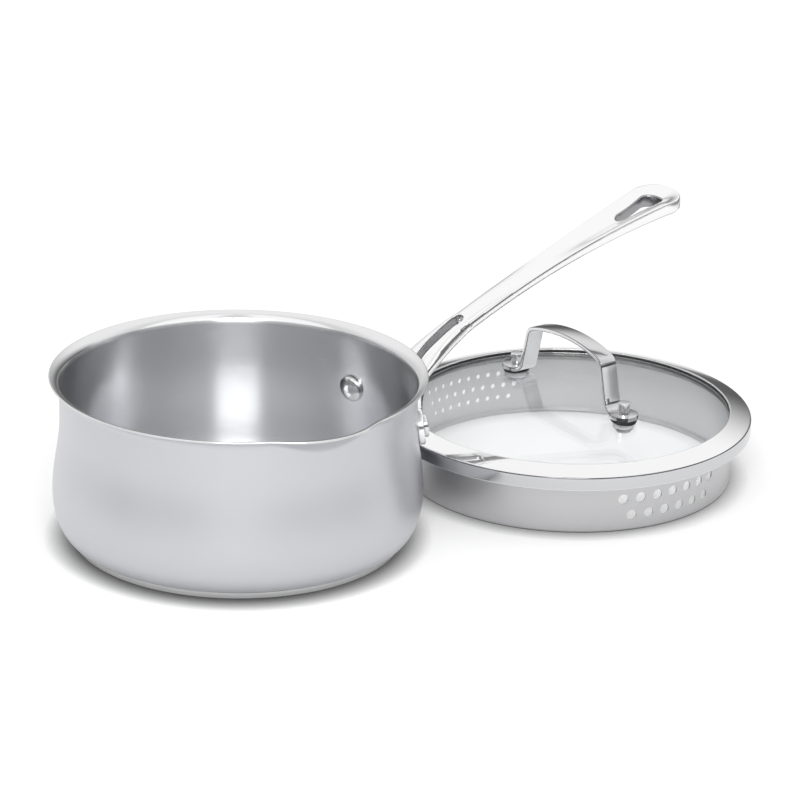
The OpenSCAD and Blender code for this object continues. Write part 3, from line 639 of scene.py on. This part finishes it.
# the tip's outline goes on from the grip's and closes as a broad, rounded end
tipFlare = (gripHalf(1) - gripHalf(0.9)) / (0.1 * straightLen)


def tipRow(a):
    row, out, left = gripRow(1), math.sin(a), math.cos(a)
    x = handle["tipLen"] * out
    rise = handle["tipSlope"] * x
    half = (row[4] + tipFlare * x * (1 - out)) * left ** 0.73
    return [row[0] + x, 0, row[2] + (row[5] - row[2]) * out ** 3 + rise, row[3] + x, half, row[5] + rise,
            row[6] * (0.55 + 0.45 * left), row[7] * (0.6 + 0.4 * left), row[8] - 25 * (1 - left), 0]


def spline(rows, count):
    out = []
    for i in range(len(rows) - 1):
        o, p, q, r = rows[max(0, i - 1)], rows[i], rows[i + 1], rows[min(len(rows) - 1, i + 2)]
        for k in range(count):
            t = k / count
            out.append([(2 * b + (c - a) * t + (2 * a - 5 * b + 4 * c - d) * t * t
                         + (3 * b - a - 3 * c + d) * t ** 3) / 2 for a, b, c, d in zip(o, p, q, r)])
    return out + [rows[-1]]


# half of the section: from the inner edge across the top, round the outer edge and back below
def halfSection(row):
    inner, outer = Vector(row[0:3]), Vector(row[3:6])
    across = outer - inner
    tilt, swing = math.radians(row[8]), math.radians(row[9])
    down = Vector((math.sin(tilt) * math.cos(swing), math.sin(tilt) * math.sin(swing), -math.cos(tilt)))
    innerDown = down if row[1] > 0.01 else Vector((down.x, 0, down.z))
    drop = row[7] * down
    edge = min(0.25, 1.1 / max(across.length, 0.01))
    # a crowned face is flat in the middle, a dished one is hollow
    shape = (lambda u: u ** 3) if across.z < 0 else ease
    bendFrom = handle["bendFrom"]
    top = [inner + across * u + Vector((0, 0, (shape(u) - u) * across.z)) for u in steps(12, 0, bendFrom)]
    bend = [outer - across * edge * 0.35, outer + drop * 0.16, outer + across * edge * 0.15 + drop * 0.5,
            outer + drop * 0.84, outer - across * edge * 0.35 + drop]
    low = [inner + across * u + innerDown * (row[6] * (1 - u) + row[7] * u) for u in steps(8, bendFrom, 0)]
    around = spline([list(p) for p in [top[-1]] + bend + [low[0]]], 4)
    return top[:-1] + [Vector(p) for p in around] + low[1:]


# every row as (row, half width of the slot there, or None where the bar is closed)
def handleRows():
    out = [(row, row[1]) for row in spline([armRow(row) for row in armRows]
                                           + [slotEndRow(math.radians(a)) for a in (20, 50, 75)], 9)]
    out += [(slotEndRow(math.radians(a)), slotEndRow(math.radians(a))[1]) for a in (80, 85)]
    out += [(gripRow(f), None) for f in steps(90)]
    out += [(tipRow(math.radians(a)), None) for a in [*range(6, 73, 6), 77, 82, 86, 88.5]]
    return out


# the bar without its hanging hole: both arms and the grip as one skin
def handleBar():
    rows = handleRows()
    points, faces = [], []
    lipW = handle["edgeSoftness"]
    for side in (1, -1):
        rings = []
        for row, slot in rows:
            ring = halfSection(row)
            wall = []
            if slot is not None:
                # soft edge of the slot: top and bottom bends with a straight wall between them
                topP, lowP = ring[0].copy(), ring[-1].copy()
                out = (ring[1] - ring[0]).normalized()
                outLow = (ring[-2] - ring[-1]).normalized()
                down = (lowP - topP).normalized()
                bend = [(math.sin(a), math.cos(a)) for a in steps(4, 0, math.pi / 2)]
                wall = [lowP + outLow * lipW * (1 - s) - down * lipW * (1 - c) for s, c in bend]
                wall += [lowP - down * lipW + (topP - lowP + down * 2 * lipW) * t for t in steps(4)[1:-1]]
                wall += [topP + out * lipW * (1 - s) + down * lipW * (1 - c) for s, c in bend[::-1]]
                ring[0], ring[-1] = wall[-1], wall[0]
            start = len(points)
            points += [(p.x, p.y * side, p.z) for p in ring + wall]
            rings.append((start, len(ring), len(wall), slot is not None))
        for (a, n, wa, openA), (b, _, wb, openB) in zip(rings, rings[1:]):
            for j in range(n - 1):
                faces.append([a + j, a + j + 1, b + j + 1, b + j])
            if openA and openB:
                for j in range(wa - 1):
                    faces.append([a + n + j, a + n + j + 1, b + n + j + 1, b + n + j])
            elif openA != openB:
                # the closed row's middle points close the end of the slot
                opened, closed = (a, b) if openA else (b, a)
                faces.append([opened + n + j for j in range(wa or wb)] + [closed, closed + n - 1])
        first, last = rings[0][0], rings[-1][0]
        n = rings[0][1]
        faces.append([first + j for j in range(n)] + [first + n + j for j in range(1, rings[0][2] - 1)])
        faces.append([last + j for j in range(n)])
    return makePiece("longHandleSmooth", points, faces, satinHandle, sharp=45)


roundX = forkX + handle["gripLen"] - handle["hangWeb"] - handle["hangW"] / 2
tailX = forkX + handle["gripLen"] - handle["hangWeb"] - handle["hangLen"] + handle["hangTailW"] / 2


# height of the grip's upper face and of its underside at a point, off the tip
def gripFaces(x, y):
    f = (x - forkX) / straightLen
    if f <= 1:
        row = gripRow(f)
    else:
        row = tipRow(math.asin(clamp((x - forkX - straightLen) / handle["tipLen"])))
    u = clamp(abs(y) / row[4])
    top = row[2] + (row[5] - row[2]) * ease(u)
    thickness = row[6] * (1 - u) + row[7] * u
    return top, row[2] + (row[5] - row[2]) * u - thickness * math.cos(math.radians(row[8]))


# teardrop outline as (x, y, outward x, outward y)
def hangOutline():
    big, small = handle["hangW"] / 2, handle["hangTailW"] / 2
    half = [(roundX + big * math.cos(a), big * math.sin(a)) for a in steps(18, 0, math.pi / 2)]
    shoulderX = tailX + (roundX - tailX) * 0.45
    # flank: a soft curve past the shoulder
    half += [(bendPoint(roundX, shoulderX, tailX, t), bendPoint(big, small + 0.3, small, t))
             for t in steps(14)[1:]]
    half += [(tailX - small * math.sin(a), small * math.cos(a)) for a in steps(12, 0, math.pi / 2)[1:]]
    loop = half + [(x, -y) for x, y in reversed(half[1:-1])]
    return [(x, y, v, -u) for (x, y), (u, v) in zip(loop, directions(loop, closed=True))]


# a plug with flared ends, which leaves a hole with soft rims
def hangPlug():
    loop = hangOutline()
    soft = handle["edgeSoftness"] * 1.6
    points = []
    # each ring: share of the soft rim outwards, and height from the face in soft rims
    levels = [(1.6, 2.4), (1.0, 0.0)]
    levels += [(1 - math.sin(a), math.cos(a) - 1) for a in steps(5, 0, math.pi / 2)[1:]]
    for upper in (True, False):
        for out, up in (levels if upper else levels[::-1]):
            for x, y, nx, ny in loop:
                px, py = x + nx * out * soft, y + ny * out * soft
                top, low = gripFaces(px, py)
                points.append((px, py, top + up * soft if upper else low - up * soft))
    n, rings = len(loop), 2 * len(levels)
    faces = ringFaces(rings, n) + [list(range(n)), list(range((rings - 1) * n, rings * n))]
    # the plug's dark material paints shade on the hole's walls
    return makePiece("hangPlug", points, faces, handleWallPaintedShade)


# takes a plug out of a piece; the cut faces keep the plug's finish
def carve(piece, plug, sharp):
    piece.data.materials.append(plug.data.materials[0])
    modifier = piece.modifiers.new("carve", "BOOLEAN")
    modifier.operation, modifier.solver, modifier.object = "DIFFERENCE", "EXACT", plug
    modifier.material_mode = "TRANSFER"
    mesh = bpy.data.meshes.new_from_object(piece.evaluated_get(bpy.context.evaluated_depsgraph_get()))
    piece.modifiers.remove(modifier)
    bpy.data.objects.remove(plug)
    name = piece.name
    piece.data = mesh
    mesh.name = name
    tidyMesh(mesh, sharp)
    return piece


def makeHandle():
    piece = handleBar()
    bpy.context.view_layer.update()
    carve(piece, hangPlug(), 45)
    # the slot's walls take the hole's dark wall material, painted shade; the grip's long edges get painted
    # dark lines, and its underside is rougher and painted darker as shade
    wall = len(piece.data.materials) - 1
    addFinishes(piece, paintedEdgeLine, handleUnderPaintedShade)
    spare, tilt, (upX, upZ) = handle["slotSpare"], handle["wallTilt"], handle["gripUp"]
    slotEnd = (forkX + spare) * mm
    (upperFrom, upperTo), (lowerFrom, lowerTo) = handle["upperPaintedLine"], handle["lowerPaintedLine"]
    for face in piece.data.polygons:
        c, normal = face.center, face.normal
        side = math.degrees(math.atan2(abs(normal.y), upZ * normal.z + upX * normal.x))
        if face.material_index == 0 and normal.y * c.y > 0:
            if upperFrom < side < upperTo or lowerFrom < side < lowerTo:
                face.material_index = wall + 1
            elif side >= lowerTo:
                face.material_index = wall + 2
        endWall = (normal.x < -tilt and abs(c.y) < (slotHalf + spare) * mm
                   and c.x > slotEnd - handle["slotBack"] * mm)
        sideWall = abs(c.y) < 0.9 * baseR * mm and normal.y * c.y < -tilt * abs(c.y)
        if c.x < slotEnd and abs(normal.z) < 0.8 and (endWall or sideWall):
            face.material_index = wall
    return piece


# outward axis of a rivet: place on the wall and direction square to it
def rivetAxis(side):
    z = handle["rivetH"]
    tilt = math.atan((wallR(z - 1) - wallR(z + 1)) / 2)
    a = math.radians(handle["rivetAngle"]) * side
    place = Vector((wallR(z) * math.cos(a), wallR(z) * math.sin(a), z))
    out = Vector((math.cos(tilt) * math.cos(a), math.cos(tilt) * math.sin(a), math.sin(tilt)))
    return place, out


# a disc that lies on the round wall, with a soft rim
def makePads():
    points, faces = [], []
    turns, half, low, high = 64, handle["padD"] / 2, 0.8, 0.9
    quarter = steps(6, 0, math.pi / 2)
    outline = [(t * (half - low), 0) for t in (0, 0.3, 0.6, 0.85, 1)]
    outline += [(half - low * (1 - math.sin(a)), low * (1 - math.cos(a)))
                for a in steps(5, 0, math.pi / 2)[1:]]
    outline += [(half - high * (1 - math.cos(a)), padT - high * (1 - math.sin(a))) for a in quarter]
    outline += [(t * (half - high), padT) for t in (0.85, 0.6, 0.3, 0)]
    for side in (1, -1):
        place, out = rivetAxis(side)
        east = Vector((-out.y, out.x, 0)).normalized()
        north = out.cross(east)
        start = len(points)
        for r, h in outline:
            for k in range(turns):
                a = 2 * math.pi * k / turns
                p = place + east * r * math.cos(a) + north * r * math.sin(a)
                for _ in range(6):
                    p += out * (wallR(p.z) + handle["wallSeat"] - math.hypot(p.x, p.y))
                level = Vector((p.x, p.y, 0)).normalized() * math.cos(math.asin(out.z))
                points.append(p + (level + Vector((0, 0, out.z))) * h)
        faces += ringFaces(len(outline), turns, start)
    return makePiece("handlePads", points, faces, satinHandle, sharp=50)


dress(makeHandle(), "pan", "polished_steel", "long_handle")
dress(makePads(), "pan", "polished_steel")
print("handle made")


# a tree with named inputs for its sizes and counts, and one for the finish
def newTree(name, sizes, counts=()):
    tree = bpy.data.node_groups.new(name, "GeometryNodeTree")
    sockets = [("Geometry", "Geometry")] + [(label, "Float") for label in sizes]
    sockets += [(label, "Int") for label in counts] + [("Finish", "Material")]
    for label, kind in sockets:
        tree.interface.new_socket(label, in_out="INPUT", socket_type="NodeSocket" + kind)
    tree.interface.new_socket("Geometry", in_out="OUTPUT", socket_type="NodeSocketGeometry")
    return tree, tree.nodes.new("NodeGroupInput").outputs


# a copy of the mesh at each point, its Z axis along the vector
def placeCopies(points, mesh, vector):
    tree = points.id_data
    turn = addNode(tree, "FunctionNodeAlignRotationToVector", {"axis": "Z"}, Vector=vector).outputs[0]
    copies = addNode(tree, "GeometryNodeInstanceOnPoints", Points=points, Instance=mesh, Rotation=turn)
    return copies.outputs[0]


def finishTree(tree, geometry, material):
    solid = addNode(tree, "GeometryNodeRealizeInstances", i0=geometry).outputs[0]
    smooth = addNode(tree, "GeometryNodeSetShadeSmooth", i0=solid).outputs[0]
    done = addNode(tree, "GeometryNodeSetMaterial", Geometry=smooth, Material=material).outputs[0]
    addNode(tree, "NodeGroupOutput", i0=done)


# runs a tree on an object with its sizes, and gives a plain mesh object at the place asked for
def runTree(host, tree, sizes, name, place=Matrix(), sharp=40):
    modifier = host.modifiers.new("make", "NODES")
    modifier.node_group = tree
    for item in tree.interface.items_tree:
        if item.item_type == "SOCKET" and item.in_out == "INPUT" and item.name in sizes:
            modifier[item.identifier] = sizes[item.name]
    evaluated = host.evaluated_get(bpy.context.evaluated_depsgraph_get())
    mesh = bpy.data.meshes.new_from_object(evaluated)
    host.modifiers.remove(modifier)
    bpy.data.objects.remove(host)
    mesh.name = name
    mesh.transform(place)
    tidyMesh(mesh, sharp)
    return addObject(name, mesh)


def turnedHeadTree():
    tree, size = newTree("turnedHead", ("Diameter", "Side Height", "Crown Height", "Crown Power"))
    radius = over(size["Diameter"], 2.0)
    disc = addNode(tree, "GeometryNodeMeshCylinder", {"fill_type": "NGON"}, Vertices=72, Side_Segments=2,
                   Fill_Segments=22, Radius=radius, Depth=size["Side Height"])
    place = addNode(tree, "GeometryNodeInputPosition").outputs[0]
    x, y, z = addNode(tree, "ShaderNodeSeparateXYZ", i0=place).outputs
    flat = joinXYZ(tree, x, y)
    share = mathNode("MINIMUM", over(vectorNode("LENGTH", flat), radius), 1.0)
    # rings crowd towards the rim, where the crown is steep
    spread = mathNode("SINE", times(share, math.pi / 2))
    widen = over(spread, mathNode("MAXIMUM", share, 0.0001))
    moved = addNode(tree, "ShaderNodeVectorMath", {"operation": "SCALE"}, i0=flat, Scale=widen).outputs[0]
    power = size["Crown Power"]
    fall = minus(1.0, mathNode("POWER", spread, power))
    crown = mathNode("POWER", mathNode("MAXIMUM", fall, 0.0), over(1.0, power))
    lift = times(mathNode("GREATER_THAN", z, 0.0), times(crown, size["Crown Height"]))
    height = plus(plus(z, over(size["Side Height"], 2.0)), lift)
    raised = vectorNode("ADD", moved, joinXYZ(tree, z=height))
    head = addNode(tree, "GeometryNodeSetPosition", Geometry=disc.outputs[0], Position=raised).outputs[0]
    axis = addNode(tree, "GeometryNodeInputNamedAttribute", {"data_type": "FLOAT_VECTOR"}, Name="axis")
    finishTree(tree, placeCopies(size["Geometry"], head, axis.outputs[0]), size["Finish"])
    return tree


turnedHead = turnedHeadTree()


# a host mesh of single points, each with the axis of its head
def headPoints(places):
    mesh = bpy.data.meshes.new("headPoints")
    mesh.from_pydata([p * mm for p, _ in places], [], [])
    axis = mesh.attributes.new("axis", "FLOAT_VECTOR", "POINT")
    axis.data.foreach_set("vector", [c for _, a in places for c in a])
    return addObject("headPoints", mesh)


def makeHeads(name, places, diameter, side, crown, power, finish):
    sizes = {"Diameter": diameter * mm, "Side Height": side * mm, "Crown Height": crown * mm,
             "Crown Power": power, "Finish": finish}
    return runTree(headPoints(places), turnedHead, sizes, name, sharp=60)


rivet = dict(innerD=14.0, innerH=3.2, innerSide=0.8, innerPower=2.0, outerD=12.0, outerH=2.6,
             outerSideShare=0.45, outerPower=3.5, headClear=0.35, padClear=0.2, rimTilt=0.35)
axes = [rivetAxis(side) for side in (1, -1)]
innerSeat = pan["wall"] + rivet["headClear"]
outerSeat = handle["wallSeat"] + padT + rivet["padClear"]
innerHeads = makeHeads("rivetInnerHeads", [(p - a * innerSeat, -a) for p, a in axes], rivet["innerD"],
                       rivet["innerSide"], rivet["innerH"] - rivet["innerSide"], rivet["innerPower"],
                       polishedRivet)
outerSide = rivet["outerH"] * rivet["outerSideShare"]
outerHeads = makeHeads("rivetOuterHeads", [(p + a * outerSeat, a) for p, a in axes], rivet["outerD"],
                       outerSide, rivet["outerH"] - outerSide, rivet["outerPower"], polishedRivet)
addFinishes(outerHeads, paintedEdgeLine)
# painted dark line round the outer heads' rims
for face in outerHeads.data.polygons:
    here = min(axes, key=lambda pair: (face.center / mm - pair[0]).length)
    if abs(face.normal.dot(here[1])) < rivet["rimTilt"]:
        face.material_index = 1
dress(innerHeads, "pan", "polished_steel", "handle_rivet_left", "handle_rivet_right")
dress(outerHeads, "pan", "polished_steel")
print("rivets made")


lid = dict(bandR=96.6, skirtR=86.5, skirtH=27.0, bandH=7.3, bandRise=3.3, windowR=85.0, sheet=0.8, hem=1.3,
           flangeInset=1.1, glassT=4.0, glassTop=45.4, glassInset=5.6, sealT=0.8, outerPaintedLine=(0.4, 0.66),
           innerPaintedLine=(0.55, 0.85), paintedLineRise=3.0, sideTilt=0.25)


def lidPlaceIn(unit):
    move = Matrix.Translation((lidCentre[0] * unit, lidCentre[1] * unit, 0))
    return move @ Matrix.Rotation(math.radians(lidTurn), 4, "Z")


lidPlace = lidPlaceIn(1)
flangeR = lid["bandR"] - lid["flangeInset"]
glassEdgeR = lid["bandR"] - lid["glassInset"]
glassWindowH = lid["skirtH"] + lid["bandH"] + lid["bandRise"] - lid["sheet"] - lid["sealT"]
glassRise = lid["glassTop"] - glassWindowH
glassSphereR = (lid["windowR"] ** 2 + glassRise ** 2) / (2 * glassRise)


def glassH(r, t=0.0):
    return lid["glassTop"] - glassSphereR + math.sqrt((glassSphereR - t) ** 2 - r * r)


def bandTop(r):
    share = (lid["bandR"] - r) / (lid["bandR"] - lid["windowR"])
    return lid["skirtH"] + lid["bandH"] + lid["bandRise"] * share


def makeBand():
    low, r, w, t = lid["skirtH"], lid["bandR"], lid["windowR"], lid["sheet"]
    inner, legR = r - t, lid["skirtR"] + 0.2
    outline = softOutline([(legR, low, 0), (r, low, 0.7), (r, bandTop(r), 1.5), (w, bandTop(w), 0.75),
                           (w, bandTop(w) - t - 0.1, 0.3), (w + 1.2, bandTop(w + 1.2) - t - 0.1, 0),
                           (inner, bandTop(inner) - 0.9, 0), (inner, low + t, 0), (legR, low + t, 0)], 7)
    points, faces = turned(outline)
    piece = makePiece("rimBandPolished", points, faces, polishedBand, lidPlace, sharp=50)
    addFinishes(piece, bandSidePaintedShade, paintedEdgeLine)
    middle = lidPlaceIn(mm).translation
    # painted dark lines along the band's outer and inner corners, and painted shade on its upright outer face
    for face in piece.data.polygons:
        c, normal = face.center - middle, face.normal
        outwards = normal.x * c.x + normal.y * c.y > 0
        lineFrom, lineTo = lid["outerPaintedLine" if outwards else "innerPaintedLine"]
        if lineFrom < normal.z < lineTo and c.z > (low + lid["paintedLineRise"]) * mm:
            face.material_index = 2
        if abs(normal.z) < lid["sideTilt"] and outwards and c.z < bandTop(r) * mm:
            face.material_index = 1
    return dress(piece, "lid", "polished_steel", "lid_rim_band")


def makeSeal():
    w, gap, rootR = lid["windowR"], 0.06, lid["skirtR"] - 1
    lipR, pocketR = w + 0.25, glassEdgeR + 0.1
    under = 1.0 + gap
    outline = [(lipR, bandTop(lipR) - under), (flangeR, bandTop(flangeR) - under)]
    outline += [(flangeR, lid["skirtH"] + 1.8), (rootR, lid["skirtH"] + 1.8)]
    outline += [(r, glassH(r, lid["glassT"]) - gap) for r in steps(5, rootR, pocketR)]
    outline += [(r, glassH(r) + gap) for r in steps(5, pocketR, lipR)]
    piece = makePiece("glassSealRing", *turned(outline, 240), greySeal, lidPlace)
    return dress(piece, "lid", "seal_silicone", "glass_seal")


def makeGlass():
    radii = [glassEdgeR * t for t in steps(40)]
    outline = [(r, glassH(r, lid["glassT"])) for r in radii] + [(r, glassH(r)) for r in reversed(radii)]
    piece = makePiece("lidGlassDome", *turned(outline, 240), lidGlassClear, lidPlace)
    return dress(piece, "lid", "tempered_glass", "lid_glass")


# rows of holes round a wall, each row one hole shorter than the row above
def punchedRowsTree():
    tree, size = newTree("punchedRows", ("Hole Diameter", "Pitch", "Top Row Height", "Row Gap", "Wall Radius",
                                         "Direction"), ("Top Row Holes", "Rows"))
    top = size["Top Row Holes"]
    dots = addNode(tree, "GeometryNodePoints", Count=times(top, size["Rows"])).outputs[0]
    index = addNode(tree, "GeometryNodeInputIndex").outputs[0]
    row = mathNode("FLOOR", over(plus(index, 0.01), top))
    inRow = minus(index, times(row, top))
    rowLen = minus(top, row)
    spare = mathNode("GREATER_THAN", inRow, minus(rowLen, 0.5))
    middle = over(minus(rowLen, 1.0), 2.0)
    angle = plus(size["Direction"], times(minus(inRow, middle), size["Pitch"]))
    place = joinXYZ(tree, times(size["Wall Radius"], mathNode("COSINE", angle)),
                    times(size["Wall Radius"], mathNode("SINE", angle)),
                    minus(size["Top Row Height"], times(row, size["Row Gap"])))
    placed = addNode(tree, "GeometryNodeSetPosition", Geometry=dots, Position=place).outputs[0]
    kept = addNode(tree, "GeometryNodeDeleteGeometry", {"domain": "POINT"}, Geometry=placed,
                   Selection=spare).outputs[0]
    position = addNode(tree, "GeometryNodeInputPosition").outputs[0]
    outwards = joinXYZ(tree, *addNode(tree, "ShaderNodeSeparateXYZ", i0=position).outputs[:2])
    punch = addNode(tree, "GeometryNodeMeshCylinder", {"fill_type": "NGON"}, Vertices=40,
                    Radius=over(size["Hole Diameter"], 2.0), Depth=0.006).outputs[0]
    cutters = addNode(tree, "GeometryNodeRealizeInstances", i0=placeCopies(kept, punch, outwards)).outputs[0]
    cut = addNode(tree, "GeometryNodeMeshBoolean", {"operation": "DIFFERENCE", "solver": "EXACT"},
                  Mesh_1=size["Geometry"], Mesh_2=cutters)
    finishTree(tree, cut.outputs["Mesh"], size["Finish"])
    return tree


holes = dict(coarse={"Hole Diameter": 5.4, "Top Row Holes": 7, "Rows": 2, "Pitch": 6.5,
                     "Top Row Height": 17.4, "Row Gap": 9.0, "Direction": -90.0},
             fine={"Hole Diameter": 2.6, "Top Row Holes": 11, "Rows": 3, "Pitch": 4.2,
                   "Top Row Height": 23.0, "Row Gap": 6.6, "Direction": 90.0})


# counts stay as they are, angles go to radians and lengths to metres
def treeValue(label, value):
    if isinstance(value, int):
        return value
    return math.radians(value) if label in ("Pitch", "Direction") else value * mm


def makeSkirt():
    r, t, h, hem = lid["skirtR"], lid["sheet"], lid["skirtH"], lid["hem"]
    flange = h + t + 0.05
    around = steps(18, math.radians(160), math.radians(360))
    outline = [(r - hem * (1 - math.cos(a)), hem + hem * math.sin(a)) for a in around]
    outline += [(r, z) for z in steps(6, hem + 0.4, flange)]
    outline += [(flangeR, flange), (flangeR, flange + t), (r - t, flange + t)]
    outline += [(r - t, z) for z in steps(6, flange + t - 1, hem + 1.2)]
    piece = makePiece("skirtHost", *turned(outline, 300), brushedSkirt)
    bpy.context.view_layer.update()
    tree = punchedRowsTree()
    for key, place in (("coarse", Matrix()), ("fine", lidPlaceIn(mm))):
        sizes = {label: treeValue(label, value) for label, value in holes[key].items()}
        sizes |= {"Wall Radius": (r - t / 2) * mm, "Finish": brushedSkirt}
        piece = runTree(piece, tree, sizes, "strainerSkirt", place)
        bpy.context.view_layer.update()
    piece.name = piece.data.name = "strainerSkirtPunched"
    return dress(piece, "lid", "brushed_steel", "strainer_skirt")


makeBand()
makeSeal()
makeGlass()
makeSkirt()
print("lid made")


strap = dict(span=90.0, width=10.2, thickness=2.2, height=31.0, slope=17.4, legInset=10.3, lean=12.8,
             footBend=6.0, bend=5.8, footD=15.4, flareFrom=25.0, nutD=6.4, nutH=6.0, nutCrown=0.5,
             nutPower=5.0, gasketD=15.6, gasketT=0.8, gasketTuck=0.8, edge=0.45, paintedEdgeLine=(0.4, 0.93),
             bendShade=(0.26, 0.5))
screwR = strap["span"] / 2
footH = glassH(screwR - strap["gasketD"] / 2) + strap["gasketT"]


# middle line: round foot, foot's bend, leaning leg, shoulder's bend and level arch, then the same mirrored
def strapMiddle():
    legSlope, archSlope = math.radians(90 - strap["lean"]), math.radians(strap["slope"])
    footBend, bend = strap["footBend"], strap["bend"]
    bottomY = screwR - strap["legInset"]
    legY, legH = bottomY + footBend * (1 - math.sin(legSlope)), footBend * (1 - math.cos(legSlope))
    bendIn = bend * (math.sin(legSlope) - math.sin(archSlope))
    bendUp = bend * (math.cos(archSlope) - math.cos(legSlope))
    gain = math.tan(archSlope / 2)
    legLen = ((strap["height"] - legH - bendUp - (legY - bendIn) * gain)
              / (math.sin(legSlope) - math.cos(legSlope) * gain))
    endY, endH = legY - legLen * math.cos(legSlope), legH + legLen * math.sin(legSlope)
    archR = (endY - bendIn) / math.sin(archSlope)
    padR = strap["footD"] / 2
    path = [(screwR + padR * math.cos(a), 0) for a in steps(16, 0, math.pi / 2)]
    path += [(y, 0) for y in steps(6, screwR, bottomY + footBend)[1:-1]]
    path += [(bottomY + footBend * (1 - math.sin(a)), footBend * (1 - math.cos(a)))
             for a in steps(18, 0, legSlope)]
    path += [(legY + (endY - legY) * t, legH + (endH - legH) * t) for t in steps(6)[1:-1]]
    shoulderY, shoulderH = endY - bend * math.sin(legSlope), endH - bend * math.cos(legSlope)
    path += [(shoulderY + bend * math.sin(a), shoulderH + bend * math.cos(a))
             for a in steps(16, legSlope, archSlope)]
    path += [(archR * math.sin(a), strap["height"] - archR * (1 - math.cos(a)))
             for a in steps(24, archSlope, 0)[1:]]
    return path + [(-y, z) for y, z in reversed(path[:-1])]


# half of the strap's width at a distance from its middle: it widens past the bend into a round pad
def strapHalf(y):
    half, padR = strap["width"] / 2, strap["footD"] / 2
    flare = math.radians(strap["flareFrom"])
    flareY = screwR - padR * math.sin(flare)
    bottomY = screwR - strap["legInset"]
    if y > flareY:
        return math.sqrt(max(0.0, padR ** 2 - (y - screwR) ** 2))
    share = clamp((y - bottomY) / (flareY - bottomY))
    return half + (padR * math.cos(flare) - half) * share ** 1.5


def makeStrap():
    path = strapMiddle()
    t = strap["thickness"] / 2
    base = footH + 0.05 + t
    points = []
    for (y, z), (u, v) in zip(path, directions(path)):
        w = max(strapHalf(abs(y)), 0.02)
        c = min(strap["edge"], w * 0.9)
        for sideX, sideN, start in ((1, 1, 0), (-1, 1, 90), (-1, -1, 180), (1, -1, 270)):
            for a in steps(4, math.radians(start), math.radians(start + 90)):
                n = sideN * (t - c) + c * math.sin(a)
                points.append((sideX * (w - c) + c * math.cos(a), y + v * n, base + z - u * n))
    n = len(points) // len(path)
    faces = ringFaces(len(path), n) + [list(range(n)), list(range(len(points) - n, len(points)))]
    piece = makePiece("lidStrap", points, faces, satinStrap, lidPlace, sharp=60)
    addFinishes(piece, paintedEdgeLine, polishedEdge, strapShade)
    across = lidPlace.to_3x3() @ Vector((1, 0, 0))
    (lineFrom, lineTo), (shadeFrom, shadeTo) = strap["paintedEdgeLine"], strap["bendShade"]
    # painted dark lines along the strap's rounded long edges
    for face in piece.data.polygons:
        sideways = abs(face.normal.dot(across))
        if sideways > lineFrom:
            face.material_index = 2 if sideways > lineTo else 1
        elif shadeFrom < face.normal.z < shadeTo:
            face.material_index = 3
    return dress(piece, "lid", "brushed_steel", "lid_handle")


makeStrap()
feet = [lidPlace @ Vector((0, side * screwR, 0)) for side in (-1, 1)]
up = Vector((0, 0, 1))
nutSeat = footH + strap["thickness"] + 0.1
nuts = makeHeads("barrelNuts", [(p + up * nutSeat, up) for p in feet], strap["nutD"],
                 strap["nutH"] - strap["nutCrown"], strap["nutCrown"], strap["nutPower"], fastenerSteel)
dress(nuts, "lid", "fastener_steel", "front_barrel_nut", "rear_barrel_nut")


# a soft rubber disc whose underside follows the domed glass
def makeGaskets():
    points, faces = [], []
    turns, half, soft = 64, strap["gasketD"] / 2 - strap["gasketTuck"], 0.35
    for foot in feet:
        start = len(points)
        # each ring: radius, share of the way from the glass to the strap's foot, and drop from there
        rings = [(half * t, 0, 0) for t in (0, 0.4, 0.8, 0.97)] + [(half, 0.25, 0), (half, 1, -soft)]
        rings += [(half - soft * (1 - math.sin(a)), 1, -soft * (1 - math.cos(a)))
                  for a in steps(4, math.pi / 2, 0)[1:]]
        rings += [(half * t, 1, 0) for t in (0.6, 0)]
        for r, share, drop in rings:
            for k in range(turns):
                a = 2 * math.pi * k / turns
                x, y = foot.x + r * math.cos(a), foot.y + r * math.sin(a)
                low = glassH(math.hypot(x - lidCentre[0], y - lidCentre[1])) + 0.03
                points.append((x, y, low + (footH - low) * share + drop))
        faces += ringFaces(len(rings), turns, start)
    return makePiece("upperGaskets", points, faces, blackGasket, sharp=50)


dress(makeGaskets(), "lid", "gasket_rubber", "front_upper_gasket", "rear_upper_gasket")
print("lid handle made")

nodeFinish = {"base_core": coreAluminium, "lower_gasket": paleGasket, "washer": fastenerSteel,
              "screw": fastenerSteel}
for name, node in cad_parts.items():
    for ending, finish in nodeFinish.items():
        if name.endswith(ending):
            for place in node.material_slots:
                place.material = finish
            node.data.shade_smooth()
